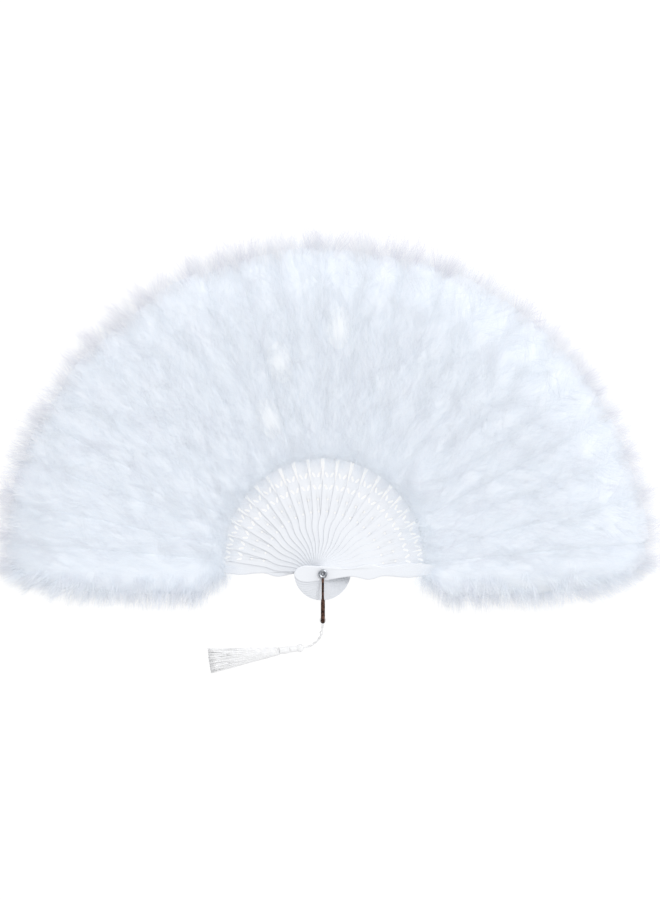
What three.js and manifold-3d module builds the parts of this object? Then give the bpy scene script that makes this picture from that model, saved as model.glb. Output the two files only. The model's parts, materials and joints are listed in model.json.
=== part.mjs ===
// A folding fan: two plain guards and twenty-two pierced sticks on one rivet, a tuft of down on each,
// a metal bail round the stick heads and a tassel on a short doubled cord.
// Millimetres and degrees. The rivet's axis is +Z, the open fan lies on the plane z = 0, and the
// middle of the fan points along +Y.

import * as THREE from 'three';
import { mergeVertices } from 'three/addons/utils/BufferGeometryUtils.js';
import Module from 'manifold-3d';

// Opening of the fan
const INNER_STICKS = 22;
const OPEN_ANGLE = 176;
const REAR_GUARD_ANGLE = 178;

// Clearances
const STICK_GAP = 0.2;
const FIT_GAP = 0.3;
const PIN_CLEARANCE = 0.3;
const SOCKET_CLEARANCE = 0.3;
const TUFT_GAP = 0.4;

// Rivet and its washers
const PIN_RADIUS = 1.6;
const RIVET_HEAD_RADIUS = 3.6;
const RIVET_HEAD_THICKNESS = 1.2;
const RIVET_HEAD_CHAMFER = 0.4;
const RIVET_RECESS_RADIUS = 1;
const RIVET_RECESS_DEPTH = 3;
const WASHER_RADIUS = 3.4;
const WASHER_THICKNESS = 0.6;

// Stick outline: lengths along the stick and half widths, from the head to the tip
const STICK_THICKNESS = 0.85;
const GUARD_THICKNESS = 1.6;
const HEAD_REACH = 23;
const HEAD_ROUNDING = 10;
const HEAD_HALF_WIDTH = 6.8;
const PIVOT_HALF_WIDTH = 5.6;
const WAIST_REACH = 22;
const STICK_WAIST_HALF_WIDTH = 4.4;
const GUARD_WAIST_HALF_WIDTH = 3.3;
const WAIST_TO_BULGE = 15;
const BULGE_HALF_WIDTH = 6.3;
const BULGE_TO_NECK = 12;
const STICK_NECK_HALF_WIDTH = 4.8;
const GUARD_NECK_HALF_WIDTH = 3.8;
const NECK_TO_BLADE = 20;
const STICK_BLADE_HALF_WIDTH = 5;
const GUARD_BLADE_HALF_WIDTH = 5.9;
const SOCKET_HALF_WIDTH = 4.5;
const STICK_REACH = 195;
const TIP_HALF_WIDTH = 2;

// Pierced work from the neck to the feathers: rows of single dots, then of slanted leaf pairs
const DOT_ROWS = 2;
const LEAF_ROWS = 2;
const PIERCED_FEATHER_MARGIN = 5;
const DOT_RADIUS = 0.95;
const LEAF_EDGE_MARGIN = 2.4;
const LEAF_LENGTH = 5;
const LEAF_HALF_WIDTH = 0.85;
const LEAF_SLANT_ANGLE = 28;

// Feather tufts: reach from the rivet, depth over the stick and spread of the two outer lobes
const SOCKET_WALL = 0.6;
const SIDE_TUFT_REACH = 262;
const MIDDLE_TUFT_REACH = 271;
const ROOT_LOFT = 2.2;
const REAR_CROWN = 30;
const FRONT_CROWN = 19;
const TIP_LIFT = 3;
const TIP_HEIGHT = 10;
const LOBE_ROOT_SPREAD = 10;
const LOBE_SPREAD = 32;

// Form of a tuft, as shares of its length, width or depth: where its sections stand, where its
// swell reaches the crown and how boldly it sets out, where its top rounds off to its low end,
// where it comes down to the surface and lifts again, where its sides and a lobe round off at the
// end and by how much, and the flats and shoulders of a section
const TUFT_SECTION_SHARES = [0, 0.07, 0.18, 0.34, 0.52, 0.7, 0.84, 0.94, 1];
const CROWN_REACHED_SHARE = 0.8;
const SWELL_POWER = 1.4;
const TOP_ROUNDS_SHARE = 0.55;
const TUFT_SETTLED_SHARE = 0.2;
const TUFT_LIFTS_SHARE = 0.7;
const TUFT_ROUNDS_SHARE = 0.9;
const LOBE_GROWN_SHARE = 0.3;
const LOBE_ROUNDS_SHARE = 0.6;
const ROUND_PAST_END_SHARE = 1.04;
const ROUND_DEPTH_SHARE = 0.91;
const UNDERSIDE_FLAT_SHARE = 0.7;
const CROWN_FLAT_SHARE = 0.6;
const LOW_SHOULDER_SHARE = 0.16;
const HIGH_SHOULDER_SHARE = 0.78;
const LOBE_SHOULDER_SHARE = 0.55;

// Bail
const BAIL_THICKNESS = 1.2;
const BAIL_EYE_WALL = 1.3;
const BAIL_LEG_HALF_WIDTH = 0.95;
const BAIL_SHOULDER_REACH = 19;
const BAIL_SHOULDER_LENGTH = 3;
const BAIL_FOOT_HALF_WIDTH = 1.6;
const BAIL_ROOM = 14.2;

// Tassel: it lies on the surface under the fan
const CORD_RADIUS = 1.2;
const CORD_EXIT_HEIGHT = 17;
const TASSEL_ANGLE = 188;
const TASSEL_HEAD_LENGTH = 11;
const TASSEL_HEAD_RADIUS = 3.6;
const TASSEL_HEAD_END_RADIUS = 1.7;
const BINDING_LENGTH = 8.4;
const BINDING_RADIUS = 3;
const SKIRT_LENGTH = 58;
const SKIRT_ROOT_HALF_WIDTH = 3.2;
const SKIRT_END_HALF_WIDTH = 10.4;
const SKIRT_HALF_DEPTH = 3.8;
const SKIRT_SECTION_SHARES = [0, 0.12, 0.35, 0.65, 0.9, 1];
const SKIRT_FLATTENED_SHARE = 0.3;
const BULB_SHOULDER_SHARES = [0.25, 0.75];

// Cord route from the bail's crosspiece to the tassel: sideways, outwards, and the share of the
// drop from the exit to the tassel's axis that is still to come
const CORD_ROUTE = [
  [0, 0, 1],
  [-0.1, -2.2, 1],
  [-0.4, -4.3, 0.96],
  [-0.8, -6.4, 0.89],
  [-1.2, -8.5, 0.79],
  [-1.7, -10.6, 0.68],
  [-2.5, -12.7, 0.56],
  [-3.6, -14.7, 0.44],
  [-5.1, -16.6, 0.33],
  [-6.9, -18.3, 0.23],
  [-8.8, -19.7, 0.15],
  [-10.8, -20.8, 0.08],
  [-12.8, -21.6, 0.03],
  [-14.2, -22, 0.01],
  [-15.6, -22.2, 0],
];

// Facet counts
const PIN_SIDES = 12;
const LATHE_SIDES = 16;
const HEAD_STEPS = 9;
const CURVE_STEPS = 8;
const DOT_SIDES = 8;
const CORD_SIDES = 8;
const CORD_STEPS = 14;
const SKIRT_SIDES = 12;

const material = (color, roughness, metalness = 0) =>
  new THREE.MeshStandardMaterial({ color, roughness, metalness });
const PLASTIC = material(0xf1f3f5, 0.4);
const DOWN = material(0xe4ecf5, 0.95);
const STEEL = material(0xb6b9bd, 0.3, 1);
const BRONZE = material(0x6a4535, 0.45, 1);
const YARN = material(0xf3f3f0, 0.85);

const wasm = await Module();
wasm.setup();

const { degToRad, lerp, smoothstep } = THREE.MathUtils;
const PITCH = OPEN_ANGLE / (INNER_STICKS + 1);
const SECTOR_SLOPE = Math.tan(degToRad(PITCH / 2));

// The feathers begin where the open sticks have spread far enough apart for their sockets.
const SOCKET_HALF = SOCKET_HALF_WIDTH + SOCKET_CLEARANCE;
const FEATHER_ROOT = (SOCKET_HALF + SOCKET_WALL + TUFT_GAP / 2) / SECTOR_SLOPE;

const BULGE_REACH = WAIST_REACH + WAIST_TO_BULGE;
const NECK_REACH = BULGE_REACH + BULGE_TO_NECK;
const BLADE_REACH = NECK_REACH + NECK_TO_BLADE;
const BORE_RADIUS = PIN_RADIUS + PIN_CLEARANCE;
const CROSSPIECE_REACH = HEAD_REACH + BAIL_ROOM + BAIL_FOOT_HALF_WIDTH;
const BAIL_REACH = CROSSPIECE_REACH + BAIL_FOOT_HALF_WIDTH;

// Layers of the stack on the rivet, from the surface upwards
let stackTop = 0;
function layer(thickness, gapAbove) {
  const bottom = stackTop;
  stackTop = bottom + thickness + gapAbove;
  return { bottom, thickness, top: bottom + thickness };
}
const REAR_HEAD = layer(RIVET_HEAD_THICKNESS, FIT_GAP);
const REAR_LEG = layer(BAIL_THICKNESS, FIT_GAP);
const REAR_WASHER = layer(WASHER_THICKNESS, FIT_GAP);
const REAR_GUARD = layer(GUARD_THICKNESS, STICK_GAP);
const STICKS = Array.from({ length: INNER_STICKS }, () => layer(STICK_THICKNESS, STICK_GAP));
const FRONT_GUARD = layer(GUARD_THICKNESS, FIT_GAP);
const FRONT_WASHER = layer(WASHER_THICKNESS, FIT_GAP);
const FRONT_LEG = layer(BAIL_THICKNESS, FIT_GAP);
const FRONT_HEAD = layer(RIVET_HEAD_THICKNESS, 0);

// A geometry with shared corners merged and with no flat triangles, so that it is one closed skin
function closedSkin(geometry) {
  const bare = geometry.clone();
  bare.deleteAttribute('normal');
  bare.deleteAttribute('uv');
  const merged = mergeVertices(bare);
  const corners = merged.index.array;
  const kept = [];
  for (let i = 0; i < corners.length; i += 3) {
    const [a, b, c] = corners.slice(i, i + 3);
    if (a !== b && b !== c && c !== a) kept.push(a, b, c);
  }
  merged.setIndex(kept);
  return merged;
}

function toSolid(geometry) {
  const skin = closedSkin(geometry);
  const vertProperties = new Float32Array(skin.attributes.position.array);
  const triVerts = new Uint32Array(skin.index.array);
  return new wasm.Manifold(new wasm.Mesh({ numProp: 3, vertProperties, triVerts }));
}

function toGeometry(solid) {
  const { vertProperties, triVerts } = solid.getMesh();
  const geometry = new THREE.BufferGeometry();
  geometry.setAttribute('position', new THREE.BufferAttribute(vertProperties, 3));
  geometry.setIndex(new THREE.BufferAttribute(triVerts, 1));
  geometry.computeVertexNormals();
  return geometry;
}

function extrude(shape, depth, bottom = 0) {
  const options = { depth, bevelEnabled: false, curveSegments: CURVE_STEPS };
  return new THREE.ExtrudeGeometry(shape, options).translate(0, 0, bottom);
}

// A profile of [radius, height] pairs, from the axis round to the axis, turned about Z
function turned(profile, sides = LATHE_SIDES) {
  const points = profile.map(([radius, height]) => new THREE.Vector2(radius, height));
  return closedSkin(new THREE.LatheGeometry(points, sides).rotateX(Math.PI / 2));
}

// Rings of equally many points, each ring counterclockwise seen from the end, skinned and capped
function loft(rings) {
  const count = rings[0].length;
  const triangles = [];
  for (let k = 0; k + 1 < rings.length; k += 1) {
    for (let j = 0; j < count; j += 1) {
      const here = k * count + j;
      const next = k * count + ((j + 1) % count);
      triangles.push(here, next, next + count, here, next + count, here + count);
    }
  }
  const last = (rings.length - 1) * count;
  for (let j = 1; j + 1 < count; j += 1) {
    triangles.push(0, j + 1, j, last, last + j, last + j + 1);
  }
  const geometry = new THREE.BufferGeometry().setFromPoints(rings.flat());
  geometry.setIndex(triangles);
  geometry.computeVertexNormals();
  return geometry;
}

function regularHole(x, y, radius, sides) {
  const corners = Array.from({ length: sides }, (_, k) => {
    const turn = (2 * Math.PI * (k + 0.5)) / sides;
    return new THREE.Vector2(x + radius * Math.cos(turn), y + radius * Math.sin(turn));
  });
  return new THREE.Path(corners);
}

// A leaf-shaped hole, pointed at both ends and turned by the slant
function leafHole(x, y, slant) {
  const straight = LEAF_LENGTH / 2 - LEAF_HALF_WIDTH;
  const corners = [
    [-LEAF_LENGTH / 2, 0],
    [-straight, -LEAF_HALF_WIDTH],
    [straight, -LEAF_HALF_WIDTH],
    [LEAF_LENGTH / 2, 0],
    [straight, LEAF_HALF_WIDTH],
    [-straight, LEAF_HALF_WIDTH],
  ];
  const centre = new THREE.Vector2(x, y);
  const placed = corners.map(([along, across]) =>
    new THREE.Vector2(along, across).rotateAround(new THREE.Vector2(), slant).add(centre));
  return new THREE.Path(placed);
}

// One edge of a stick, from its head to its tip: the half width eases in and out between stations
function stickEdge({ waist, neck, blade }) {
  const stations = [
    { reach: HEAD_ROUNDING - HEAD_REACH, half: HEAD_HALF_WIDTH, steps: 0 },
    { reach: 0, half: PIVOT_HALF_WIDTH, steps: 3 },
    { reach: WAIST_REACH, half: waist, steps: 4 },
    { reach: BULGE_REACH, half: BULGE_HALF_WIDTH, steps: 5 },
    { reach: NECK_REACH, half: neck, steps: 5 },
    { reach: BLADE_REACH, half: blade, steps: 3 },
    { reach: FEATHER_ROOT, half: SOCKET_HALF_WIDTH, steps: 1 },
    { reach: STICK_REACH, half: TIP_HALF_WIDTH, steps: 1 },
  ];
  const edge = [new THREE.Vector2(stations[0].reach, stations[0].half)];
  stations.slice(1).forEach((station, index) => {
    const before = stations[index];
    for (let k = 1; k <= station.steps; k += 1) {
      const share = k / station.steps;
      const half = lerp(before.half, station.half, smoothstep(share, 0, 1));
      edge.push(new THREE.Vector2(lerp(before.reach, station.reach, share), half));
    }
  });
  return edge;
}

function piercedHoles() {
  const last = FEATHER_ROOT - PIERCED_FEATHER_MARGIN;
  const rows = DOT_ROWS + LEAF_ROWS;
  const spread = SOCKET_HALF_WIDTH - LEAF_EDGE_MARGIN;
  const slant = degToRad(LEAF_SLANT_ANGLE);
  const holes = [];
  for (let row = 0; row < rows; row += 1) {
    const x = lerp(NECK_REACH, last, row / (rows - 1));
    if (row < DOT_ROWS) {
      holes.push(regularHole(x, 0, DOT_RADIUS, DOT_SIDES));
    } else {
      holes.push(leafHole(x, spread, slant), leafHole(x, -spread, -slant));
    }
  }
  return holes;
}

// A flat stick along +X with its bore at the origin, its head behind the bore and its tip ahead
function stickGeometry(form, thickness) {
  const upper = stickEdge(form);
  const lower = upper.map(({ x, y }) => new THREE.Vector2(x, -y)).reverse();
  const headCentre = HEAD_ROUNDING - HEAD_REACH;
  const head = [];
  for (let k = 1; k < HEAD_STEPS; k += 1) {
    const turn = Math.PI * (1.5 - k / HEAD_STEPS);
    const x = headCentre + HEAD_ROUNDING * Math.cos(turn);
    head.push(new THREE.Vector2(x, HEAD_HALF_WIDTH * Math.sin(turn)));
  }
  const shape = new THREE.Shape([...upper, ...lower, ...head]);
  shape.holes.push(regularHole(0, 0, BORE_RADIUS / Math.cos(Math.PI / PIN_SIDES), PIN_SIDES));
  if (form.pierced) shape.holes.push(...piercedHoles());
  return extrude(shape, thickness);
}

// The room that a stick's blade takes in its tuft, with clearance all round and open at the root
function socketSolid(level) {
  const mouth = FEATHER_ROOT - SOCKET_WALL;
  const end = STICK_REACH + SOCKET_CLEARANCE;
  const tipHalf = TIP_HALF_WIDTH + SOCKET_CLEARANCE;
  const shape = new THREE.Shape();
  shape.moveTo(mouth, -SOCKET_HALF);
  shape.lineTo(FEATHER_ROOT, -SOCKET_HALF);
  shape.lineTo(end, -tipHalf);
  shape.lineTo(end, tipHalf);
  shape.lineTo(FEATHER_ROOT, SOCKET_HALF);
  shape.lineTo(mouth, SOCKET_HALF);
  shape.closePath();
  return toSolid(extrude(shape, level.thickness + 2 * SOCKET_CLEARANCE, level.bottom - SOCKET_CLEARANCE));
}

// A soft wedge of down over one stick: narrow at its root, full in the middle, round at its end.
// It rests on the surface below and rises to its crown above the stick. lobe is 1 or -1 on the
// outer side of a guard, where the down spreads past the guard, and 0 on an inner stick.
function tuftGeometry(level, crown, reach, lobe) {
  const roundOff = (share, start) =>
    Math.sqrt(1 - ROUND_DEPTH_SHARE * smoothstep(share, start, ROUND_PAST_END_SHARE) ** 2);
  const shoulder = (side) => (side === lobe ? LOBE_SHOULDER_SHARE : HIGH_SHOULDER_SHARE);
  const rings = TUFT_SECTION_SHARES.map((share) => {
    const x = lerp(FEATHER_ROOT, reach, share);
    const swell = 1 - (1 - Math.min(share / CROWN_REACHED_SHARE, 1)) ** SWELL_POWER;
    const past = Math.max(share - TOP_ROUNDS_SHARE, 0) / (1 - TOP_ROUNDS_SHARE);
    const inner = (x * SECTOR_SLOPE - TUFT_GAP / 2) * roundOff(share, TUFT_ROUNDS_SHARE);
    const spread = lerp(LOBE_ROOT_SPREAD, LOBE_SPREAD, smoothstep(share, 0, LOBE_GROWN_SHARE));
    const outer = spread * roundOff(share, LOBE_ROUNDS_SHARE);
    const left = lobe > 0 ? outer : inner;
    const right = lobe < 0 ? outer : inner;
    const settled = smoothstep(share, 0, TUFT_SETTLED_SHARE);
    const lifted = TIP_LIFT * smoothstep(share, TUFT_LIFTS_SHARE, 1);
    const low = lerp(level.bottom - ROOT_LOFT, lifted, settled);
    const swollen = level.top + lerp(ROOT_LOFT, crown, swell);
    const high = lerp(TIP_HEIGHT, swollen, Math.sqrt(1 - past ** 2));
    const at = (side, rise) => new THREE.Vector3(x, side, lerp(low, high, rise));
    return [
      at(-UNDERSIDE_FLAT_SHARE * right, 0),
      at(UNDERSIDE_FLAT_SHARE * left, 0),
      at(left, LOW_SHOULDER_SHARE),
      at(left, shoulder(1)),
      at(CROWN_FLAT_SHARE * left, 1),
      at(-CROWN_FLAT_SHARE * right, 1),
      at(-right, shoulder(-1)),
      at(-right, LOW_SHOULDER_SHARE),
    ];
  });
  return toGeometry(toSolid(loft(rings)).subtract(socketSolid(level)));
}

function rivetGeometry() {
  const rim = RIVET_HEAD_RADIUS - RIVET_HEAD_CHAMFER;
  return turned([
    [0, REAR_HEAD.bottom],
    [rim, REAR_HEAD.bottom],
    [RIVET_HEAD_RADIUS, REAR_HEAD.bottom + RIVET_HEAD_CHAMFER],
    [RIVET_HEAD_RADIUS, REAR_HEAD.top],
    [PIN_RADIUS, REAR_HEAD.top],
    [PIN_RADIUS, FRONT_HEAD.bottom],
    [RIVET_HEAD_RADIUS, FRONT_HEAD.bottom],
    [RIVET_HEAD_RADIUS, FRONT_HEAD.top - RIVET_HEAD_CHAMFER],
    [rim, FRONT_HEAD.top],
    [RIVET_RECESS_RADIUS, FRONT_HEAD.top],
    [RIVET_RECESS_RADIUS, FRONT_HEAD.top - RIVET_RECESS_DEPTH],
    [0, FRONT_HEAD.top - RIVET_RECESS_DEPTH],
  ], PIN_SIDES);
}

function washerGeometry({ bottom, thickness }) {
  const shape = new THREE.Shape(regularHole(0, 0, WASHER_RADIUS, LATHE_SIDES).getPoints());
  shape.holes.push(regularHole(0, 0, BORE_RADIUS / Math.cos(Math.PI / PIN_SIDES), PIN_SIDES));
  return extrude(shape, thickness, bottom);
}

// Two flat legs with an eye round the rivet each, joined past the stick heads by a crosspiece
function bailGeometry() {
  const eye = BORE_RADIUS + BAIL_EYE_WALL;
  const slant = Math.asin(BAIL_LEG_HALF_WIDTH / eye);
  const shoulderEnd = BAIL_SHOULDER_REACH + BAIL_SHOULDER_LENGTH;
  const shape = new THREE.Shape();
  shape.absarc(0, 0, eye, slant - Math.PI / 2, 1.5 * Math.PI - slant, false);
  shape.lineTo(-BAIL_LEG_HALF_WIDTH, -BAIL_SHOULDER_REACH);
  shape.lineTo(-BAIL_FOOT_HALF_WIDTH, -shoulderEnd);
  shape.absarc(0, -CROSSPIECE_REACH, BAIL_FOOT_HALF_WIDTH, Math.PI, 2 * Math.PI, false);
  shape.lineTo(BAIL_FOOT_HALF_WIDTH, -shoulderEnd);
  shape.lineTo(BAIL_LEG_HALF_WIDTH, -BAIL_SHOULDER_REACH);
  shape.closePath();
  shape.holes.push(regularHole(0, 0, BORE_RADIUS / Math.cos(Math.PI / PIN_SIDES), PIN_SIDES));
  const height = FRONT_LEG.top - REAR_LEG.bottom;
  const radius = BAIL_FOOT_HALF_WIDTH;
  const crosspiece = new THREE.CylinderGeometry(radius, radius, height, LATHE_SIDES);
  crosspiece.rotateX(Math.PI / 2).translate(0, -CROSSPIECE_REACH, REAR_LEG.bottom + height / 2);
  const rear = toSolid(extrude(shape, BAIL_THICKNESS, REAR_LEG.bottom));
  const front = toSolid(extrude(shape, BAIL_THICKNESS, FRONT_LEG.bottom));
  return toGeometry(rear.add(front).add(toSolid(crosspiece)));
}

// The doubled cord as one tube, from the crosspiece down to the tassel's head
function cordGeometry(points) {
  const section = new THREE.Shape(regularHole(0, 0, CORD_RADIUS, CORD_SIDES).getPoints());
  const path = new THREE.CatmullRomCurve3(points);
  return new THREE.ExtrudeGeometry(section, { steps: CORD_STEPS, extrudePath: path, bevelEnabled: false });
}

// Knob, binding and skirt of the tassel along +X from the origin, with the surface at z = 0
function tasselKnob() {
  const [near, far] = BULB_SHOULDER_SHARES;
  const end = (TASSEL_HEAD_RADIUS + TASSEL_HEAD_END_RADIUS) / 2;
  const shoulder = (end + TASSEL_HEAD_RADIUS) / 2;
  return turned([
    [0, 0],
    [TASSEL_HEAD_END_RADIUS, 0],
    [shoulder, near * TASSEL_HEAD_LENGTH],
    [TASSEL_HEAD_RADIUS, TASSEL_HEAD_LENGTH / 2],
    [shoulder, far * TASSEL_HEAD_LENGTH],
    [end, TASSEL_HEAD_LENGTH],
    [0, TASSEL_HEAD_LENGTH],
  ]);
}

function tasselBinding() {
  const [near, far] = BULB_SHOULDER_SHARES;
  const end = (BINDING_RADIUS + TASSEL_HEAD_END_RADIUS) / 2;
  return turned([
    [0, 0],
    [end, 0],
    [BINDING_RADIUS, near * BINDING_LENGTH],
    [BINDING_RADIUS, far * BINDING_LENGTH],
    [end, BINDING_LENGTH],
    [0, BINDING_LENGTH],
  ]);
}

function tasselSkirt() {
  const rings = SKIRT_SECTION_SHARES.map((share) => {
    const half = lerp(SKIRT_ROOT_HALF_WIDTH, SKIRT_END_HALF_WIDTH, share);
    const flattened = smoothstep(share, 0, SKIRT_FLATTENED_SHARE);
    const depth = lerp(SKIRT_ROOT_HALF_WIDTH, SKIRT_HALF_DEPTH, flattened);
    return Array.from({ length: SKIRT_SIDES }, (_, k) => {
      const turn = (2 * Math.PI * (k + 0.5)) / SKIRT_SIDES;
      return new THREE.Vector3(share * SKIRT_LENGTH, half * Math.cos(turn), depth + depth * Math.sin(turn));
    });
  });
  return loft(rings);
}

function piece(name, geometry, finish) {
  const mesh = new THREE.Mesh(geometry, finish);
  mesh.name = name;
  return mesh;
}

// One rib of the fan: its stick at its layer of the stack and the tuft on it, turned to its place
function rib(stickName, tuftName, place, level, form, lobe) {
  const angle = degToRad(REAR_GUARD_ANGLE - PITCH * place);
  const reach = lerp(SIDE_TUFT_REACH, MIDDLE_TUFT_REACH, Math.sin(angle));
  const crown = lerp(REAR_CROWN, FRONT_CROWN, place / (INNER_STICKS + 1));
  const group = new THREE.Group();
  group.rotation.z = angle;
  const stick = piece(stickName, stickGeometry(form, level.thickness), PLASTIC);
  stick.position.z = level.bottom;
  group.add(stick, piece(tuftName, tuftGeometry(level, crown, reach, lobe), DOWN));
  return group;
}

function tassel() {
  const exit = new THREE.Vector3(0, -BAIL_REACH - FIT_GAP, 0);
  const points = CORD_ROUTE.map(([side, out, drop]) => {
    const height = lerp(TASSEL_HEAD_RADIUS, CORD_EXIT_HEIGHT, drop);
    return new THREE.Vector3(side, out, height).add(exit);
  });
  const hanging = new THREE.Group();
  hanging.position.copy(points.at(-1)).setZ(0);
  hanging.rotation.z = degToRad(TASSEL_ANGLE);
  const knob = piece('tassel_head', tasselKnob().rotateY(Math.PI / 2), YARN);
  knob.position.set(FIT_GAP, 0, TASSEL_HEAD_RADIUS);
  const binding = piece('tassel_binding', tasselBinding().rotateY(Math.PI / 2), YARN);
  binding.position.set(knob.position.x + TASSEL_HEAD_LENGTH + FIT_GAP, 0, TASSEL_HEAD_RADIUS);
  const skirt = piece('tassel_skirt', tasselSkirt(), YARN);
  skirt.position.x = binding.position.x + BINDING_LENGTH + FIT_GAP;
  hanging.add(knob, binding, skirt);
  const group = new THREE.Group();
  group.add(piece('tassel_cord', cordGeometry(points), YARN), hanging);
  return group;
}

const STICK_FORM = {
  waist: STICK_WAIST_HALF_WIDTH,
  neck: STICK_NECK_HALF_WIDTH,
  blade: STICK_BLADE_HALF_WIDTH,
  pierced: true,
};
const GUARD_FORM = {
  waist: GUARD_WAIST_HALF_WIDTH,
  neck: GUARD_NECK_HALF_WIDTH,
  blade: GUARD_BLADE_HALF_WIDTH,
  pierced: false,
};

const fan = new THREE.Group();
fan.add(rib('rear_guard', 'rear_guard_tuft', 0, REAR_GUARD, GUARD_FORM, 1));
STICKS.forEach((level, index) => {
  const number = String(index + 1).padStart(2, '0');
  fan.add(rib(`stick_${number}`, `tuft_${number}`, index + 1, level, STICK_FORM, 0));
});
fan.add(rib('front_guard', 'front_guard_tuft', INNER_STICKS + 1, FRONT_GUARD, GUARD_FORM, -1));
fan.add(piece('rivet_pin', rivetGeometry(), STEEL));
fan.add(piece('rear_washer', washerGeometry(REAR_WASHER), STEEL));
fan.add(piece('front_washer', washerGeometry(FRONT_WASHER), STEEL));
fan.add(piece('bail', bailGeometry(), BRONZE));
fan.add(tassel());

export default fan;
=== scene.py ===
"""The looks of an open feather folding fan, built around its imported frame.

The fan lies on the plane z = 0 with its rivet on the Z axis and its middle along +Y. Every length is in
metres, and MM turns a maker's millimetres into them. Each new piece is a surface worked out as whole
numpy arrays: a grid of rows and columns, or a section carried along a path.
"""

from __future__ import annotations

import json
import logging
import math
from dataclasses import dataclass, field, fields
from enum import Enum

import bpy
import numpy as np
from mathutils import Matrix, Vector

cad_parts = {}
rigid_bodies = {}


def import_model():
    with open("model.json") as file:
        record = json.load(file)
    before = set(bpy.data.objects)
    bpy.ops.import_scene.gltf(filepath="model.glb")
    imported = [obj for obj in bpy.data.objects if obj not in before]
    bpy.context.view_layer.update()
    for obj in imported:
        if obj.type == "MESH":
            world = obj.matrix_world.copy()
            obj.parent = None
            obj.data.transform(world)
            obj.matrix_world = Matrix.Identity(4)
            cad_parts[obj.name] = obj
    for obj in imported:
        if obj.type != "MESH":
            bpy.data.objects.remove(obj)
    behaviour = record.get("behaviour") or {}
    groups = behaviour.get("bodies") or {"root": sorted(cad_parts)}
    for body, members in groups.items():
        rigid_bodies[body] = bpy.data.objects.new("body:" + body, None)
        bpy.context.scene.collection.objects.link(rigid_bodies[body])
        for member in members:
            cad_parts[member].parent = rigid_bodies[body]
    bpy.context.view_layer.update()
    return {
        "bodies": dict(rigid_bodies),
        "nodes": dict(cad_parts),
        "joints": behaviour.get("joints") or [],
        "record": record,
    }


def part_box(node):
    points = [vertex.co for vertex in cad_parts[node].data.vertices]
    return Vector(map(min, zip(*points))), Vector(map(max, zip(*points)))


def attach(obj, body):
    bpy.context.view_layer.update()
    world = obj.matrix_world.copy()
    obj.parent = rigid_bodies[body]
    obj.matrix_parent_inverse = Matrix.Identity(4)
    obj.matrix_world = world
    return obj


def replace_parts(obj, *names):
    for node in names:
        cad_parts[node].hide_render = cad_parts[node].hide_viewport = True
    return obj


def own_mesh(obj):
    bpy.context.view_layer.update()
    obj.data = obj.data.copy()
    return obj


MM = 0.001
BAKE_MAP = "OFBake"
UP = np.array([0.0, 0.0, 1.0])
ALONG_X = np.array([1.0, 0.0, 0.0])
ALONG_Y = np.array([0.0, 1.0, 0.0])
GOLDEN_SHARE = (math.sqrt(5.0) - 1.0) / 2.0
# Dense down takes the lower part of its map, and the loose hair of the rim the rest.
LOOSE_FROM = 0.9
# An end face takes a round patch of this radius in the middle of its piece's map.
CAP_PATCH = 0.02
INNER_STICKS = 22
# The rear guard's tuft draws its random numbers from this seed, and each next tuft from the next one.
FIRST_SEED = 100

Array = np.ndarray
Range = tuple[float, float]
log = logging.getLogger("feather_fan")


class Slot(Enum):
    """The record's material slots for the new pieces, listed here but not used by the script; the sticks
    keep the slot they have.
    """

    DOWN = "down_feather"
    RIVET = "rivet_steel"
    BAIL = "bail_metal"
    YARN = "tassel_yarn"


class Lobe(Enum):
    """The side of a stick, seen from its rivet, where extra down spreads past the open fan."""

    NONE = 0
    LEFT = 1
    RIGHT = -1


def linear(code: str) -> tuple[float, float, float, float]:
    """Turns an sRGB hex colour into linear light.

    Args:
        code: A colour such as "#F4F6F9".

    Returns:
        Linear red, green and blue, and full alpha.
    """
    parts = np.array([int(code[k : k + 2], 16) for k in (1, 3, 5)]) / 255.0
    bright = ((parts + 0.055) / 1.055) ** 2.4
    return (*np.where(parts <= 0.04045, parts / 12.92, bright).tolist(), 1.0)


def fill(tree: bpy.types.NodeTree, node: bpy.types.Node, inputs: dict[str | int, object]) -> None:
    """Gives sockets of a node their values or links.

    Args:
        tree: The node's tree.
        node: The node.
        inputs: Sockets by name or number, each with a value or with another node's output.
    """
    for key, value in inputs.items():
        if isinstance(value, bpy.types.NodeSocket):
            tree.links.new(value, node.inputs[key])
        else:
            node.inputs[key].default_value = value


def add_node(
    tree: bpy.types.NodeTree, kind: str, inputs: dict[str | int, object] | None = None, **settings: object
) -> bpy.types.Node:
    """Adds one node with its settings and fills or links its sockets.

    Args:
        tree: The node tree that gets the node.
        kind: The node's type name.
        inputs: What its sockets get, as fill() takes it.
        **settings: Properties of the node itself.

    Returns:
        The new node.
    """
    node = tree.nodes.new(kind)
    for name, value in settings.items():
        setattr(node, name, value)
    fill(tree, node, inputs or {})
    return node


@dataclass(frozen=True)
class Finish:
    """A procedural surface; each kind of finish fills in what the eye sees of it."""

    name: str

    def dress(self, tree: bpy.types.NodeTree, surface: bpy.types.Node) -> None:
        """Sets and links the sockets of the surface.

        Args:
            tree: The material's nodes.
            surface: Its Principled node.
        """
        raise NotImplementedError

    def material(self) -> bpy.types.Material:
        """Makes the material and returns it."""
        made = bpy.data.materials.new(self.name)
        made.use_nodes = True
        self.dress(made.node_tree, made.node_tree.nodes["Principled BSDF"])
        return made


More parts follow.
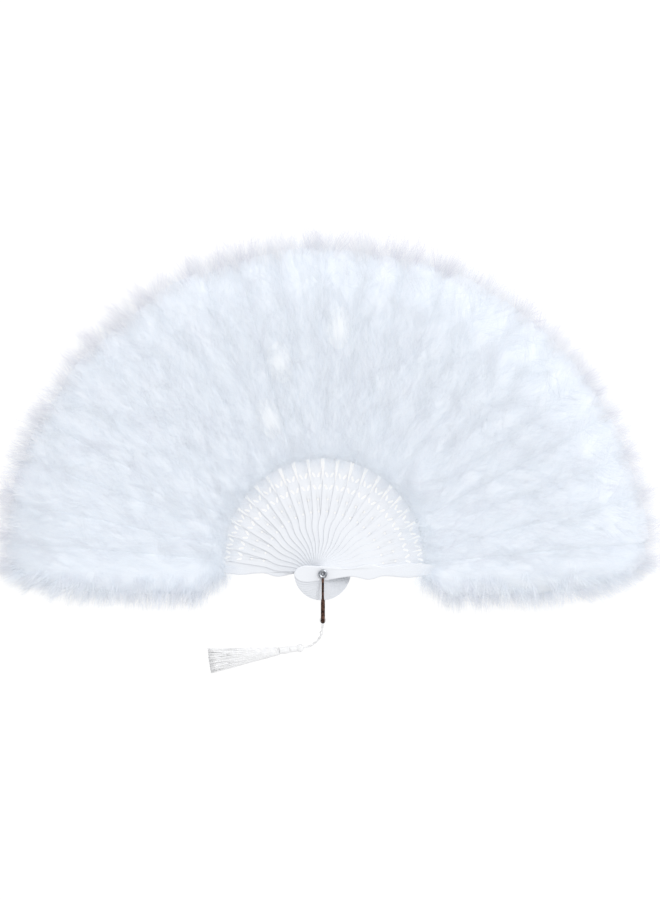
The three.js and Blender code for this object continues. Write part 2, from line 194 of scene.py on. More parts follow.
@dataclass(frozen=True)
class Down(Finish):
    """Bleached turkey down: matt and soft, white at the tips, and painted darker and faintly blue towards
    each barb's root as painted shade, where light sinks into the fluff.

    u of a barb's own map runs from its root to its tip. v says how white the barb is, and over
    LOOSE_FROM it is loose hair, the purest white.
    """

    name: str = "bleached_turkey_down"
    # The root colours are painted shade: darker and bluer than the tips, where the fluff keeps light out.
    cool_root: str = "#E3E4EE"
    cool_tip: str = "#ECEBF3"
    white_root: str = "#EEF6FE"
    white_tip: str = "#F6FAFE"
    loose: str = "#F9FAFE"
    roughness: float = 0.9
    specular: float = 0.2
    sheen: float = 0.25

    def dress(self, tree: bpy.types.NodeTree, surface: bpy.types.Node) -> None:
        """Blends the painted shade at the root to the white tip along each barb, and cool to white to loose
        from barb to barb.
        """
        place = add_node(tree, "ShaderNodeUVMap", uv_map=BAKE_MAP)
        parts = add_node(tree, "ShaderNodeSeparateXYZ", {"Vector": place.outputs["UV"]}).outputs
        cool = {"Fac": parts["X"], "Color1": linear(self.cool_root), "Color2": linear(self.cool_tip)}
        white = {"Fac": parts["X"], "Color1": linear(self.white_root), "Color2": linear(self.white_tip)}
        dense = {"Value": parts["Y"], "From Max": LOOSE_FROM}
        blend = {
            "Fac": add_node(tree, "ShaderNodeMapRange", dense).outputs["Result"],
            "Color1": add_node(tree, "ShaderNodeMixRGB", cool).outputs["Color"],
            "Color2": add_node(tree, "ShaderNodeMixRGB", white).outputs["Color"],
        }
        above = {0: parts["Y"], 1: LOOSE_FROM}
        purer = {
            "Fac": add_node(tree, "ShaderNodeMath", above, operation="GREATER_THAN").outputs[0],
            "Color1": add_node(tree, "ShaderNodeMixRGB", blend).outputs["Color"],
            "Color2": linear(self.loose),
        }
        sockets = {
            "Base Color": add_node(tree, "ShaderNodeMixRGB", purer).outputs["Color"],
            "Roughness": self.roughness,
            "Specular IOR Level": self.specular,
            "Sheen Weight": self.sheen,
        }
        fill(tree, surface, sockets)


@dataclass(frozen=True)
class Mottled(Finish):
    """A hard finish whose colour and gloss drift from patch to patch, over a fine relief.

    Attributes:
        light: The colour between the patches.
        dark: The colour of the patches.
        patch: The size of a patch.
        fine: The size of the relief's grains or scratches.
        smooth: The roughness between the patches.
        rough: The roughness of the patches.
        relief: How high the grains or scratches stand.
        relief_strength: How much of that height shows.
        patch_detail: How many finer layers of noise break up the patches.
        patch_edge: The part of the noise's range over which a patch fades in.
        fine_detail: How many finer layers of noise break up the relief.
    """

    light: str
    dark: str
    patch: float
    fine: float
    smooth: float
    rough: float
    relief: float
    relief_strength: float
    patch_detail: float
    patch_edge: Range
    fine_detail: float = 2.0

    def dress(self, tree: bpy.types.NodeTree, surface: bpy.types.Node) -> None:
        """Patches the colour and the gloss, and raises the relief."""
        place = add_node(tree, "ShaderNodeTexCoord").outputs["Object"]
        patches = {"Vector": place, "Scale": 1 / self.patch, "Detail": self.patch_detail}
        edge = {
            "Value": add_node(tree, "ShaderNodeTexNoise", patches).outputs["Fac"],
            "From Min": self.patch_edge[0],
            "From Max": self.patch_edge[1],
        }
        share = add_node(tree, "ShaderNodeMapRange", edge).outputs["Result"]
        tint = {"Fac": share, "Color1": linear(self.light), "Color2": linear(self.dark)}
        gloss = {"Value": share, "To Min": self.smooth, "To Max": self.rough}
        fine = {"Vector": place, "Scale": 1 / self.fine, "Detail": self.fine_detail}
        relief = {
            "Height": add_node(tree, "ShaderNodeTexNoise", fine).outputs["Fac"],
            "Strength": self.relief_strength,
            "Distance": self.relief,
        }
        sockets = {
            "Base Color": add_node(tree, "ShaderNodeMixRGB", tint).outputs["Color"],
            "Roughness": add_node(tree, "ShaderNodeMapRange", gloss).outputs["Result"],
            "Normal": add_node(tree, "ShaderNodeBump", relief).outputs["Normal"],
        }
        fill(tree, surface, sockets)


@dataclass(frozen=True)
class MouldedPlastic(Mottled):
    """White polystyrene, injection moulded: satin, with faint flow clouds and a fine mould grain."""

    name: str = "moulded_polystyrene"
    light: str = "#EFF2F7"
    dark: str = "#E7EAF0"
    patch: float = 16 * MM
    # A mould's grain is some hundredths of a millimetre; it is drawn coarser so that it shows.
    fine: float = 0.6 * MM
    smooth: float = 0.3
    rough: float = 0.46
    relief: float = 0.02 * MM
    relief_strength: float = 0.5
    patch_detail: float = 3.0
    patch_edge: Range = (0.0, 1.0)
    ior: float = 1.59

    def dress(self, tree: bpy.types.NodeTree, surface: bpy.types.Node) -> None:
        """Gives the mottled surface polystyrene's index of refraction."""
        super().dress(tree, surface)
        surface.inputs["IOR"].default_value = self.ior


@dataclass(frozen=True)
class WornMetal(Mottled):
    """Plated or browned metal: it mirrors softly, with darker patches and fine scratches from handling."""

    relief: float = 0.03 * MM
    relief_strength: float = 0.6
    patch_detail: float = 4.0
    patch_edge: Range = (0.38, 0.62)

    def dress(self, tree: bpy.types.NodeTree, surface: bpy.types.Node) -> None:
        """Makes the mottled surface a metal's."""
        super().dress(tree, surface)
        surface.inputs["Metallic"].default_value = 1.0


@dataclass(frozen=True)
class RayonThread(Finish):
    """White rayon thread: silky, with the lines of its spun filaments winding round it.

    u of a strand's own map runs along it and v runs round it.
    """

    name: str = "spun_rayon"
    light: str = "#FFFFFF"
    shade: str = "#F0F1F4"
    filaments: float = 3.0
    turns: float = 9.0
    line_edge: Range = (-1.0, 0.6)
    relief: float = 0.08 * MM
    relief_strength: float = 0.7
    roughness: float = 0.5
    sheen: float = 0.35

    def dress(self, tree: bpy.types.NodeTree, surface: bpy.types.Node) -> None:
        """Winds shaded and raised filament lines round the strand."""
        place = add_node(tree, "ShaderNodeUVMap", uv_map=BAKE_MAP)
        parts = add_node(tree, "ShaderNodeSeparateXYZ", {"Vector": place.outputs["UV"]}).outputs
        round_it = {0: parts["Y"], 1: 2 * math.pi * self.filaments}
        across = add_node(tree, "ShaderNodeMath", round_it, operation="MULTIPLY").outputs[0]
        wind = {0: parts["X"], 1: 2 * math.pi * self.turns, 2: across}
        phase = add_node(tree, "ShaderNodeMath", wind, operation="MULTIPLY_ADD").outputs[0]
        wave = add_node(tree, "ShaderNodeMath", {0: phase}, operation="SINE").outputs[0]
        lines = {"Value": wave, "From Min": self.line_edge[0], "From Max": self.line_edge[1]}
        share = add_node(tree, "ShaderNodeMapRange", lines).outputs["Result"]
        tint = {"Fac": share, "Color1": linear(self.shade), "Color2": linear(self.light)}
        relief = {"Height": share, "Strength": self.relief_strength, "Distance": self.relief}
        sockets = {
            "Base Color": add_node(tree, "ShaderNodeMixRGB", tint).outputs["Color"],
            "Normal": add_node(tree, "ShaderNodeBump", relief).outputs["Normal"],
            "Roughness": self.roughness,
            "Sheen Weight": self.sheen,
        }
        fill(tree, surface, sockets)


NICKEL = WornMetal("nickel_plated_steel", "#C9CCD1", "#7C8087", 1.6 * MM, 0.25 * MM, 0.22, 0.42)
BROWNED_BRASS = WornMetal("browned_brass", "#644A40", "#2B1F1C", 2.4 * MM, 0.3 * MM, 0.3, 0.5)


def unit(vectors: Array) -> Array:
    """Scales vectors to length one."""
    return vectors / np.maximum(np.linalg.norm(vectors, axis=-1, keepdims=True), 1e-12)


def ease(share: Array) -> Array:
    """Steps smoothly from 0 to 1: 3 s^2 - 2 s^3, held at both ends."""
    held = np.clip(share, 0.0, 1.0)
    return held * held * (3.0 - 2.0 * held)


def angles_round(sides: int) -> Array:
    """Returns angles evenly spaced round a full turn, one for each side."""
    return 2 * math.pi * np.arange(sides) / sides


def turn_about_up(angle: float) -> Array:
    """Returns the matrix that turns row vectors about the Z axis by an angle in radians."""
    c, s = math.cos(angle), math.sin(angle)
    return np.array([[c, s, 0.0], [-s, c, 0.0], [0.0, 0.0, 1.0]])


def run_lengths(line: Array) -> Array:
    """Returns how far along a line of points each point lies, from 0 at its start."""
    return np.concatenate([[0.0], np.cumsum(np.linalg.norm(np.diff(line, axis=0), axis=1))])


@dataclass
class Skin:
    """A surface as arrays.

    Attributes:
        points: One row per point.
        quads: Four point numbers per face.
        places: Each face corner's place on the surface's map.
        caps: Sets of many-cornered end faces, one row of point numbers per face.
    """

    points: Array
    quads: Array
    places: Array
    caps: list[Array] = field(default_factory=list)

    def placed(self, turn: Array, shift: Array) -> Skin:
        """Turns the points by a matrix for row vectors, then shifts them, and returns the moved surface."""
        return Skin(self.points @ turn + shift, self.quads, self.places, self.caps)


def joined(skins: list[Skin]) -> Skin:
    """Puts several surfaces into one.

    Args:
        skins: The surfaces.

    Returns:
        One surface with all their points and faces.
    """
    starts = np.cumsum([0] + [len(skin.points) for skin in skins[:-1]])
    return Skin(
        np.concatenate([skin.points for skin in skins]),
        np.concatenate([skin.quads + start for skin, start in zip(skins, starts)]),
        np.concatenate([skin.places for skin in skins]),
        [cap + start for skin, start in zip(skins, starts) for cap in skin.caps],
    )


def grid(copies: int, rows: int, columns: int, ring: bool, loop: bool = False) -> tuple[Array, Array]:
    """Lays faces over a stack of point grids, point (k, r, c) being number (k rows + r) columns + c.

    Args:
        copies: How many grids there are.
        rows: Rows of points in each.
        columns: Columns of points in each.
        ring: Whether the last column joins the first.
        loop: Whether the last row joins the first.

    Returns:
        The faces, and the place of each face corner as shares of the rows and of the columns.
    """
    row_steps, column_steps = (rows if loop else rows - 1), (columns if ring else columns - 1)
    r, c = (part.ravel() for part in np.mgrid[0:row_steps, 0:column_steps])
    row_corners = np.stack([r, r, r + 1, r + 1], 1)
    column_corners = np.stack([c, c + 1, c + 1, c], 1)
    local = (row_corners % rows) * columns + column_corners % columns
    quads = (np.arange(copies)[:, None, None] * rows * columns + local).reshape(-1, 4)
    places = np.stack([row_corners / row_steps, column_corners / column_steps], 2)
    return quads, np.tile(places, (copies, 1, 1))


def end_caps(copies: int, rows: int, columns: int) -> list[Array]:
    """Closes the first and last rows of a stack of ring grids.

    Args:
        copies: How many grids there are.
        rows: Rows of points in each.
        columns: Columns of points in each.

    Returns:
        One set of faces for the first rows, turned back, and one for the last rows.
    """
    first = np.arange(copies)[:, None] * rows * columns
    around = np.arange(columns)
    return [first + around[::-1], first + (rows - 1) * columns + around]


def tubes(paths: Array, radius: float, sides: int) -> Skin:
    """Carries a circle along each path: path(s) + radius (cos t across + sin t above).

    Args:
        paths: Points of shape (tubes, steps, 3), none running straight up.
        radius: The circle's radius.
        sides: Points round a tube.

    Returns:
        The closed tubes as one surface.
    """
    copies, steps = paths.shape[:2]
    ahead = unit(np.gradient(paths, axis=1))
    across = unit(np.cross(UP, ahead))
    above = np.cross(ahead, across)
    turn = angles_round(sides)[:, None]
    circle = np.cos(turn) * across[:, :, None] + np.sin(turn) * above[:, :, None]
    points = (paths[:, :, None] + radius * circle).reshape(-1, 3)
    quads, places = grid(copies, steps, sides, ring=True)
    return Skin(points, quads, places, end_caps(copies, steps, sides))


def swept(path: Array, side: Array, normal: Array, halves: Array, power: Array, sides: int) -> Skin:
    """Carries a rounded section along a path.

    The section is |x / a|^p + |y / b|^p = 1, with x along side and y along normal, and with its own a
    and p towards side and away from it. A power of 2 gives an ellipse, and more gives flatter sides.

    Args:
        path: Points of shape (steps, 3).
        side: The section's first direction, the same all along the path.
        normal: Its second direction, one or one per step.
        halves: Half sizes a towards side, a away from it, and b, of shape (steps, 3).
        power: Powers towards side and away from it, of shape (steps, 2).
        sides: Points round the section.

    Returns:
        The closed bar.
    """
    turn = angles_round(sides)
    towards = np.cos(turn) >= 0.0
    sharp = 2.0 / np.where(towards, power[:, :1], power[:, 1:])
    half = np.where(towards, halves[:, :1], halves[:, 1:2])
    x = half * np.sign(np.cos(turn)) * np.abs(np.cos(turn)) ** sharp
    y = halves[:, 2:] * np.sign(np.sin(turn)) * np.abs(np.sin(turn)) ** sharp
    normals = np.broadcast_to(normal, path.shape)
    points = path[:, None] + x[:, :, None] * side + y[:, :, None] * normals[:, None]
    quads, places = grid(1, len(path), sides, ring=True)
    return Skin(points.reshape(-1, 3), quads, places, end_caps(1, len(path), sides))


def turned(radii: Array, heights: Array, loop: bool = False) -> Skin:
    """Stacks rings about the Z axis: (r cos t, r sin t, h), going up on the outside.

    Args:
        radii: The radius at each row and each step round, of shape (rows, sides).
        heights: The height of each row.
        loop: Whether the last row joins the first, as on a washer.

    Returns:
        The surface, with flat ends unless it loops.
    """
    rows, sides = radii.shape
    turn = angles_round(sides)
    level = np.broadcast_to(heights[:, None], radii.shape)
    points = np.stack([radii * np.cos(turn), radii * np.sin(turn), level], 2).reshape(-1, 3)
    quads, places = grid(1, rows, sides, ring=True, loop=loop)
    return Skin(points, quads, places, [] if loop else end_caps(1, rows, sides))


def lathed(outline: Array, sides: int, loop: bool = False) -> Skin:
    """Turns an outline about the Z axis.

    Args:
        outline: Rows of radius and height, from the lower end up the outside.
        sides: Points round the axis.
        loop: Whether the outline closes on itself.

    Returns:
        The turned surface.
    """
    return turned(np.repeat(outline[:, :1], sides, axis=1), outline[:, 1], loop)


def flat_ring(inner: float, outer: float, bottom: float, top: float, edge: float, sides: int) -> Skin:
    """Turns a flat ring with bevelled edges about the Z axis.

    Args:
        inner: The radius of its bore.
        outer: The radius of its rim.
        bottom: The height of its underside.
        top: The height of its upper side.
        edge: The width of its bevels.
        sides: Points round the axis.

    Returns:
        The ring.
    """
    outline = [
        (inner + edge, bottom),
        (outer - edge, bottom),
        (outer, bottom + edge),
        (outer, top - edge),
        (outer - edge, top),
        (inner + edge, top),
        (inner, top - edge),
        (inner, bottom + edge),
    ]
    return lathed(np.array(outline), sides, loop=True)


def cap_places(count: int, corners: int) -> Array:
    """Returns a small regular polygon in the middle of the map for each of count end faces."""
    turn = angles_round(corners)
    return np.tile(0.5 + CAP_PATCH * np.stack([np.cos(turn), np.sin(turn)], 1), (count, 1))


def add_object(name: str, data: bpy.types.ID) -> bpy.types.Object:
    """Makes an object that shows some data, puts it into the scene and returns it."""
    made = bpy.data.objects.new(name, data)
    bpy.context.scene.collection.objects.link(made)
    return made


def make_piece(
    name: str, skin: Skin, material: bpy.types.Material, body: str
) -> bpy.types.Object:
    """Puts a surface into a mesh object that rides on a body.

    Args:
        name: The piece's name.
        skin: Its surface.
        material: Its material.
        body: The body that it moves with.

    Returns:
        The new object.
    """
    faces = [skin.quads, *skin.caps]
    corners = np.concatenate([face.ravel() for face in faces])
    sizes = np.concatenate([np.full(len(face), face.shape[1]) for face in faces])
    starts = np.concatenate([[0], np.cumsum(sizes)[:-1]])
    uv = np.concatenate([skin.places.reshape(-1, 2), *(cap_places(*cap.shape) for cap in skin.caps)])
    mesh = bpy.data.meshes.new(name)
    mesh.vertices.add(len(skin.points))
    mesh.vertices.foreach_set("co", skin.points.astype(np.float32).ravel())
    mesh.loops.add(len(corners))
    mesh.loops.foreach_set("vertex_index", corners.astype(np.int32))
    mesh.polygons.add(len(sizes))
    mesh.polygons.foreach_set("loop_start", starts.astype(np.int32))
    mesh.polygons.foreach_set("use_smooth", sizes == 4)
    mesh.update(calc_edges=True)
    mesh.uv_layers.new(name=BAKE_MAP).uv.foreach_set("vector", uv.astype(np.float32).ravel())
    mesh.materials.append(material)
    piece = add_object(name, mesh)
    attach(piece, body)
    log.info("%s: %d points, %d faces, on %s", name, len(skin.points), len(sizes), body)
    return piece


def solid_corners(solid: bpy.types.Object) -> Array:
    """Returns the corners of a solid's mesh, one row each."""
    flat = np.empty(3 * len(solid.data.vertices), np.float32)
    solid.data.vertices.foreach_get("co", flat)
    return flat.reshape(-1, 3).astype(float)


def headings(yaw: Array, rise: Array) -> Array:
    """Returns unit directions from yaws to the left of the X axis and rises over the ground, in degrees."""
    yaw, rise = np.radians(yaw), np.radians(rise)
    return np.stack([np.cos(rise) * np.cos(yaw), np.cos(rise) * np.sin(yaw), np.sin(rise)], 1)


def dense_places(corner: Range, size: float, places: Array) -> Array:
    """Shrinks a surface's map into a part of the dense down's map.

    Args:
        corner: The part's lowest u and v.
        size: The part's size.
        places: The surface's own map.

    Returns:
        The places on the down's map.
    """
    return (np.array(corner) + size * places) * np.array([1.0, LOOSE_FROM])


@dataclass
class Clumps:
    """Pointed clumps of barbs on one stick, in its own frame: along it, across it to the left, and up.

    Attributes:
        root: Where each clump starts, of shape (clumps, 3).
        ahead: The unit direction in which it sets out, of shape (clumps, 3).
        length: Its length.
        laid: How closely it keeps to the matted body's surface, from 0 to 1.
        white: How white it is, from 0 to 1.
        width: The width of its barbs at their roots.
        loose: Whether it is loose hair of the rim.
    """

    root: Array
    ahead: Array
    length: Array
    laid: Array
    white: Array
    width: Array
    loose: Array

    @staticmethod
    def together(groups: list[Clumps]) -> Clumps:
        """Returns several sets of clumps as one."""
        names = [part.name for part in fields(Clumps)]
        return Clumps(*(np.concatenate([getattr(group, name) for group in groups]) for name in names))


@dataclass(frozen=True)
class ClumpKind:
    """What the clumps on one part of a tuft have in common.

    Attributes:
        count: How many there are.
        width: The width of their barbs at the roots.
        white: How white they are in the mean, from 0 to 1.
        sway: How far they stray sideways, and up or down, as standard deviations in degrees.
        laid: How closely they keep to the matted body's surface, from 0 to 1.
        loose: Whether they are loose hair of the rim.
        length: The length that the shares are of.
        shares: Their least and greatest length as shares.
    """

    count: int
    width: float
    white: float
    sway: Range
    laid: float = 0.0
    loose: bool = False
    length: float = 0.0
    shares: Range = (1.0, 1.0)


@dataclass(frozen=True)
class BarbSizes:
    """How single barbs grow in their clump, and how they are drawn."""

    per_clump: int = 12
    points: int = 5
    sag: Range = (0.05, 0.35)
    lengths: Range = (0.5, 1.15)
    # How far a barb's direction strays from its clump's, as a standard deviation of each part of it.
    stray: float = 0.24
    clump_half: float = 2.2 * MM
    laid_clump_half: float = 3.2 * MM
    clump_form: tuple[float, float, float] = (1.0, 1.0, 0.3)
    # The greatest share by which a tip draws towards its clump's line, and what a free one adds to it.
    drawn_in: float = 0.45
    free_drawn_in: float = 0.15
    drawn_in_power: float = 1.5
    unrest: float = 0.3 * MM
    # A laid barb arches over the body by these shares of its length.
    arch: Range = (0.02, 0.1)
    arch_fall: float = 0.55
    hover: float = 0.2 * MM
    white_unrest: float = 0.12
    whitest: float = 0.999
    # How far its face tilts from looking up, and how much of its width the tip has lost.
    tilt: float = 0.1
    taper: float = 0.7
    # The map's rows of whiteness, and the share of a row that stays free on each side of a barb.
    tint_rows: int = 32
    row_margin: float = 0.1


@dataclass(frozen=True)
class DownSizes:
    """Counts, sizes and angles of the down on a stick; angles of headings are in degrees."""

    # A barb of down is a few hundredths of a millimetre wide; it is drawn wider so that fewer cover as well.
    crown_kind: ClumpKind = ClumpKind(
        170, 0.15 * MM, 0.85, (24.0, 0.0), laid=1.0, length=20 * MM, shares=(0.7, 1.2)
    )
    rim_kind: ClumpKind = ClumpKind(
        75, 0.08 * MM, 0.92, (14.0, 8.0), loose=True, length=20 * MM, shares=(0.4, 1.5)
    )
    # The stray hairs take the cool, greyer colours as painted shade, so that they show darker against the
    # white floor.
    stray_kind: ClumpKind = ClumpKind(16, 0.24 * MM, 0.15, (22.0, 9.0))
    root_kind: ClumpKind = ClumpKind(
        10, 0.1 * MM, 0.95, (42.0, 0.0), laid=0.75, length=20 * MM, shares=(0.4, 1.3)
    )
    lobe_kind: ClumpKind = ClumpKind(
        420, 0.15 * MM, 0.7, (17.0, 9.0), length=18 * MM, shares=(0.6, 1.15)
    )
    white_spread: float = 0.16
    white_limits: Range = (0.02, 0.98)
    barbs: BarbSizes = BarbSizes()
    ground_gap: float = 0.4 * MM
    stray_height: float = 8 * MM
    stray_reach: float = 19 * MM

    # The crown's clumps are set this much towards the rivet, and splay out at the body's sides.
    crown_back: float = 2 * MM
    crown_splay: float = 38.0
    crown_rise: float = 12.0

    # The rim's clumps start up to this far in, crowd to the body's top, and fan up and down with height.
    rim_depth: float = 14 * MM
    rim_low: float = 3 * MM
    rim_top_power: float = 0.25
    rim_fan: float = 16.0
    rim_level_share: float = 0.75
    # How far past the solid its tips reach: what differs from tuft to tuft, what the fan's right adds,
    # the mean and the standard deviation of single tips, and what some of them add.
    rim_uneven: float = 2.5 * MM
    rim_right: float = 4 * MM
    rim_tips: Range = (4 * MM, 5 * MM)
    rim_long: float = 8 * MM
    rim_long_share: float = 0.2

    stray_depth: float = 8 * MM
    stray_levels: Range = (0.3, 1.0)
    stray_tips: Range = (4 * MM, 17 * MM)

    root_places: Range = (2 * MM, 16 * MM)
    root_spread: float = 1.1
    root_lift: float = 1.2 * MM
    root_yaw: float = 180.0
    root_rises: Range = (2.0, 14.0)
    root_side_growth: float = 0.9

    # The lobe's clumps turn from almost square to the stick to a slant along it, and follow its slope.
    lobe_turns: Range = (-60.0, 80.0)
    lobe_yaws: Range = (84.0, 26.0)
    lobe_yaw_share: float = 0.5
    lobe_rise: float = -14.0
    lobe_rise_swing: float = 30.0

    # How the matted body's place is worked out from the stick and the tuft's solid.
    stick_tip_share: float = 0.98
    root_arch: float = 10 * MM
    root_back: float = 5 * MM
    end_inset: float = 3 * MM
    end_inset_top: float = 7 * MM
    end_right: float = 2 * MM
    width_spread: float = 0.12
    length_spread: float = 2 * MM
    crown_margin: float = 0.5 * MM
    # The front guard is thicker than a stick, so its down sinks to run on from the next tuft.
    front_sink: float = 0.7 * MM

    # The matted inner down, too dense to see into, as one soft body under the loose barbs.
    body_rows: int = 48
    body_row_power: float = 1.5
    body_sides: int = 40
    body_power: float = 9.0
    body_half_angle: float = math.radians(4.8)
    body_ground_gap: float = 1.5 * MM
    body_root_half: float = 0.4 * MM
    body_end_top: float = 10 * MM
    body_start: float = 3 * MM
    body_map: Range = (0.4, 0.75)
    body_map_size: float = 0.2
    crown_share: float = 0.8
    swell_power: float = 1.05
    round_share: float = 0.55
    round_stop: float = 0.93
    settled_share: float = 0.25
    tip_round: float = 5 * MM
    tip_round_along: int = 6
    tip_round_across: int = 4

    # Ripples of the matted body: rings round the rivet that bend, times rays that twist.
    ripple: float = 0.3 * MM
    ripple_wave: float = 5.5 * MM
    ripple_bend: float = 4.0
    ripple_bends: float = 5.0
    ripple_rays: float = 31.0
    ripple_twist: float = 17 * MM

    # A stick lies this much higher than the one on its left, at the stack and at the tufts' crowns.
    pitch: float = math.radians(176.0 / 23.0)
    level_step: float = 1.05 * MM
    crown_step: float = 0.6 * MM

    lobe_root_half: float = 7 * MM
    lobe_half: float = 23 * MM
    lobe_end_half: float = 2 * MM
    lobe_grown_share: float = 0.14
    lobe_round_share: float = 0.5
    lobe_end_share: float = 0.96
    lobe_power: float = 2.3

    puff_half: Range = (17 * MM, 10 * MM)
    puff_height: float = 0.6 * MM
    puff_rows: int = 14
    puff_sides: int = 28
    puff_cap: float = 0.02
    puff_map: Range = (0.9, 0.9)
    puff_map_size: float = 0.09


@dataclass
class Tuft:
    """The down feathers of one stick: a soft matted body with loose barbs all over it.

    Attributes:
        stick: The stick's node, and the body that it rides on.
        lobe: The side on which a guard's down spreads past the fan.
        seed: The seed of its random numbers.
        puffs: How far from the rivet its whiter puffs stand.
        sizes: The down's sizes.
        angle: The stick's direction, in radians to the left of +X.
        level: The height of the stick's middle.
        bed: The height that the down rises from.
        crown: The height of the matted body's top.
        root: How far from the rivet the down starts.
        reach: How far from the rivet its solid ends.
        end: How far from the rivet the matted body ends.
        half_angle: Half the angle that the matted body spreads over.
    """

    stick: str
    lobe: Lobe
    seed: int
    puffs: tuple[float, ...] = ()
    sizes: DownSizes = field(default_factory=DownSizes)
    angle: float = field(init=False)
    level: float = field(init=False)
    bed: float = field(init=False)
    crown: float = field(init=False)
    root: float = field(init=False)
    reach: float = field(init=False)
    end: float = field(init=False)
    half_angle: float = field(init=False)

    def part_name(self, part: str) -> str:
        """Names a part after the stick: tuft_07 for stick_07, and rear_guard_tuft for rear_guard."""
        return self.stick.replace("stick", part) if self.lobe is Lobe.NONE else f"{self.stick}_{part}"

    def measure(self, frame: dict) -> None:
        """Takes the stick's direction and level, and the tuft's root, reach and crown, from the frame.
        """
        size = self.sizes
        stick = solid_corners(frame["nodes"][self.stick])
        solid = solid_corners(frame["nodes"][self.part_name("tuft")])
        out = np.hypot(stick[:, 0], stick[:, 1])
        tip = stick[out > size.stick_tip_share * out.max()].mean(0)
        self.angle = math.atan2(tip[1], tip[0])
        self.level = float(stick[:, 2].min() + stick[:, 2].max()) / 2
        sunk = size.front_sink if self.lobe is Lobe.RIGHT else 0.0
        self.bed = self.level - sunk
        self.crown = float(solid[:, 2].max()) + size.crown_margin - sunk
        away = np.hypot(solid[:, 0], solid[:, 1])
        top, right = math.sin(self.angle), math.cos(self.angle)
        # The down starts closer to the rivet at the fan's sides than in its middle.
        self.root = float(away.min()) + size.root_arch * top - size.root_back
        self.reach = float(away.max())
        # No two tufts are quite as wide or as long, which also shows in the folded stack.
        wider, longer = np.random.default_rng([self.seed, 1]).uniform(-1.0, 1.0, 2)
        self.half_angle = size.body_half_angle * (1.0 + size.width_spread * wider)
        # The dense down ends farther in at the fan's head, and farthest out on its right.
        inset = size.end_inset + size.end_inset_top * top - size.end_right * right
        self.end = self.reach - inset + size.length_spread * longer

    def share(self, x: Array) -> Array:
        """Returns places along the stick as shares of the matted body's length."""
        return np.clip((x - self.root) / (self.end - self.root), 0.0, 1.0)

    def swell(self, x: Array) -> tuple[Array, Array]:
        """Returns how far the top has swollen, from 0 to 1, and what its rounding leaves, from 1 to 0."""
        size, share = self.sizes, self.share(x)
        past = np.clip((share - size.round_share) / (1.0 - size.round_share), 0.0, 1.0)
        swollen = 1.0 - (1.0 - np.minimum(share / size.crown_share, 1.0)) ** size.swell_power
        return swollen, np.sqrt(1.0 - (size.round_stop * past) ** 2)

    def body_section(self, x: Array) -> tuple[Array, Array]:
        """Finds the middle height and the half depth of the matted body.

        Its top rises from the stick as 1 - (1 - s)^p and rounds off to its low end as a quarter of an
        ellipse. Its underside eases down to the ground.

        Args:
            x: Places along the stick.

        Returns:
            The middle height and the half depth at each place.
        """
        size = self.sizes
        swollen, rounded = self.swell(x)
        low, high = self.bed - size.body_root_half, self.bed + size.body_root_half
        bottom = low + (size.body_ground_gap - low) * ease(self.share(x) / size.settled_share)
        risen = high + (self.crown - high) * swollen
        top = size.body_end_top + (risen - size.body_end_top) * rounded
        return (top + bottom) / 2, (top - bottom) / 2

    def lean(self, x: Array) -> Array:
        """Returns how much the body falls to the left per length, so that it meets the next, lower tuft."""
        size = self.sizes
        swollen, rounded = self.swell(x)
        step = size.level_step + (size.crown_step - size.level_step) * swollen
        return step * rounded / (x * size.pitch)

    def surface_at(self, x: Array, y: Array) -> Array:
        """Finds the height of the matted body's top.

        Args:
            x: Places along the stick.
            y: Places across it.

        Returns:
            The heights, rolled off over a guard's lobe.
        """
        middle, half = self.body_section(x)
        power = self.sizes.lobe_power
        out = np.clip(self.lobe.value * y / self.lobe_half(x), 0.0, 1.0)
        return middle + half * (1.0 - out**power) ** (1.0 / power) - self.lean(x) * y

    def lobe_half(self, x: Array) -> Array:
        """Returns how far a guard's lobe spreads: it grows at the root and ends as part of an ellipse."""
        size = self.sizes
        share = (x - self.root) / (self.reach - self.root)
        growth = ease(share / size.lobe_grown_share)
        grown = size.lobe_root_half + (size.lobe_half - size.lobe_root_half) * growth
        past = (share - size.lobe_round_share) / (size.lobe_end_share - size.lobe_round_share)
        return np.maximum(grown * np.sqrt(1.0 - np.clip(past, 0.0, 1.0) ** 2), size.lobe_end_half)

    def side_half(self, x: Array, side: Lobe) -> Array:
        """Returns how far the matted body spreads to one side: over a lobe, or under the next tuft."""
        return self.lobe_half(x) if self.lobe is side else x * math.tan(self.half_angle)

    def spread(self, x: Array, across: Array) -> Array:
        """Returns places across the body from shares of its spread: -1 on its right, 1 on its left."""
        left, right = (self.side_half(x, side) for side in (Lobe.LEFT, Lobe.RIGHT))
        return across * np.where(across > 0.0, left, right)

    def matted_body(self) -> Skin:
        """Makes the soft body: a rounded section carried along the stick, with faint ripples.

        The ripples are sines of the distance from the rivet and of the angle round it, so that they run
        on from one tuft to the next.

        Returns:
            The body, rolled off over a guard's lobe, and turned to the stick's place.
        """
        size = self.sizes
        # The steps shorten towards the end, where the top rounds off.
        share = 1.0 - np.linspace(1.0, 0.0, size.body_rows) ** size.body_row_power
        # It starts farther out at the fan's top, where only a haze of barbs covers the sticks' ends.
        start = self.root + size.body_start * math.sin(self.angle)
        x = start + (self.end - start) * share
        middle, half = self.body_section(x)
        path = np.stack([x, np.zeros_like(x), middle], 1)
        sides = (Lobe.LEFT, Lobe.RIGHT)
        power = [size.lobe_power if self.lobe is side else size.body_power for side in sides]
        halves = np.stack([*(self.side_half(x, side) for side in sides), half], 1)
        skin = swept(path, ALONG_Y, UP, halves, np.tile(power, (len(x), 1)), size.body_sides)
        skin.points[:, 2] -= self.lean(skin.points[:, 0]) * skin.points[:, 1]
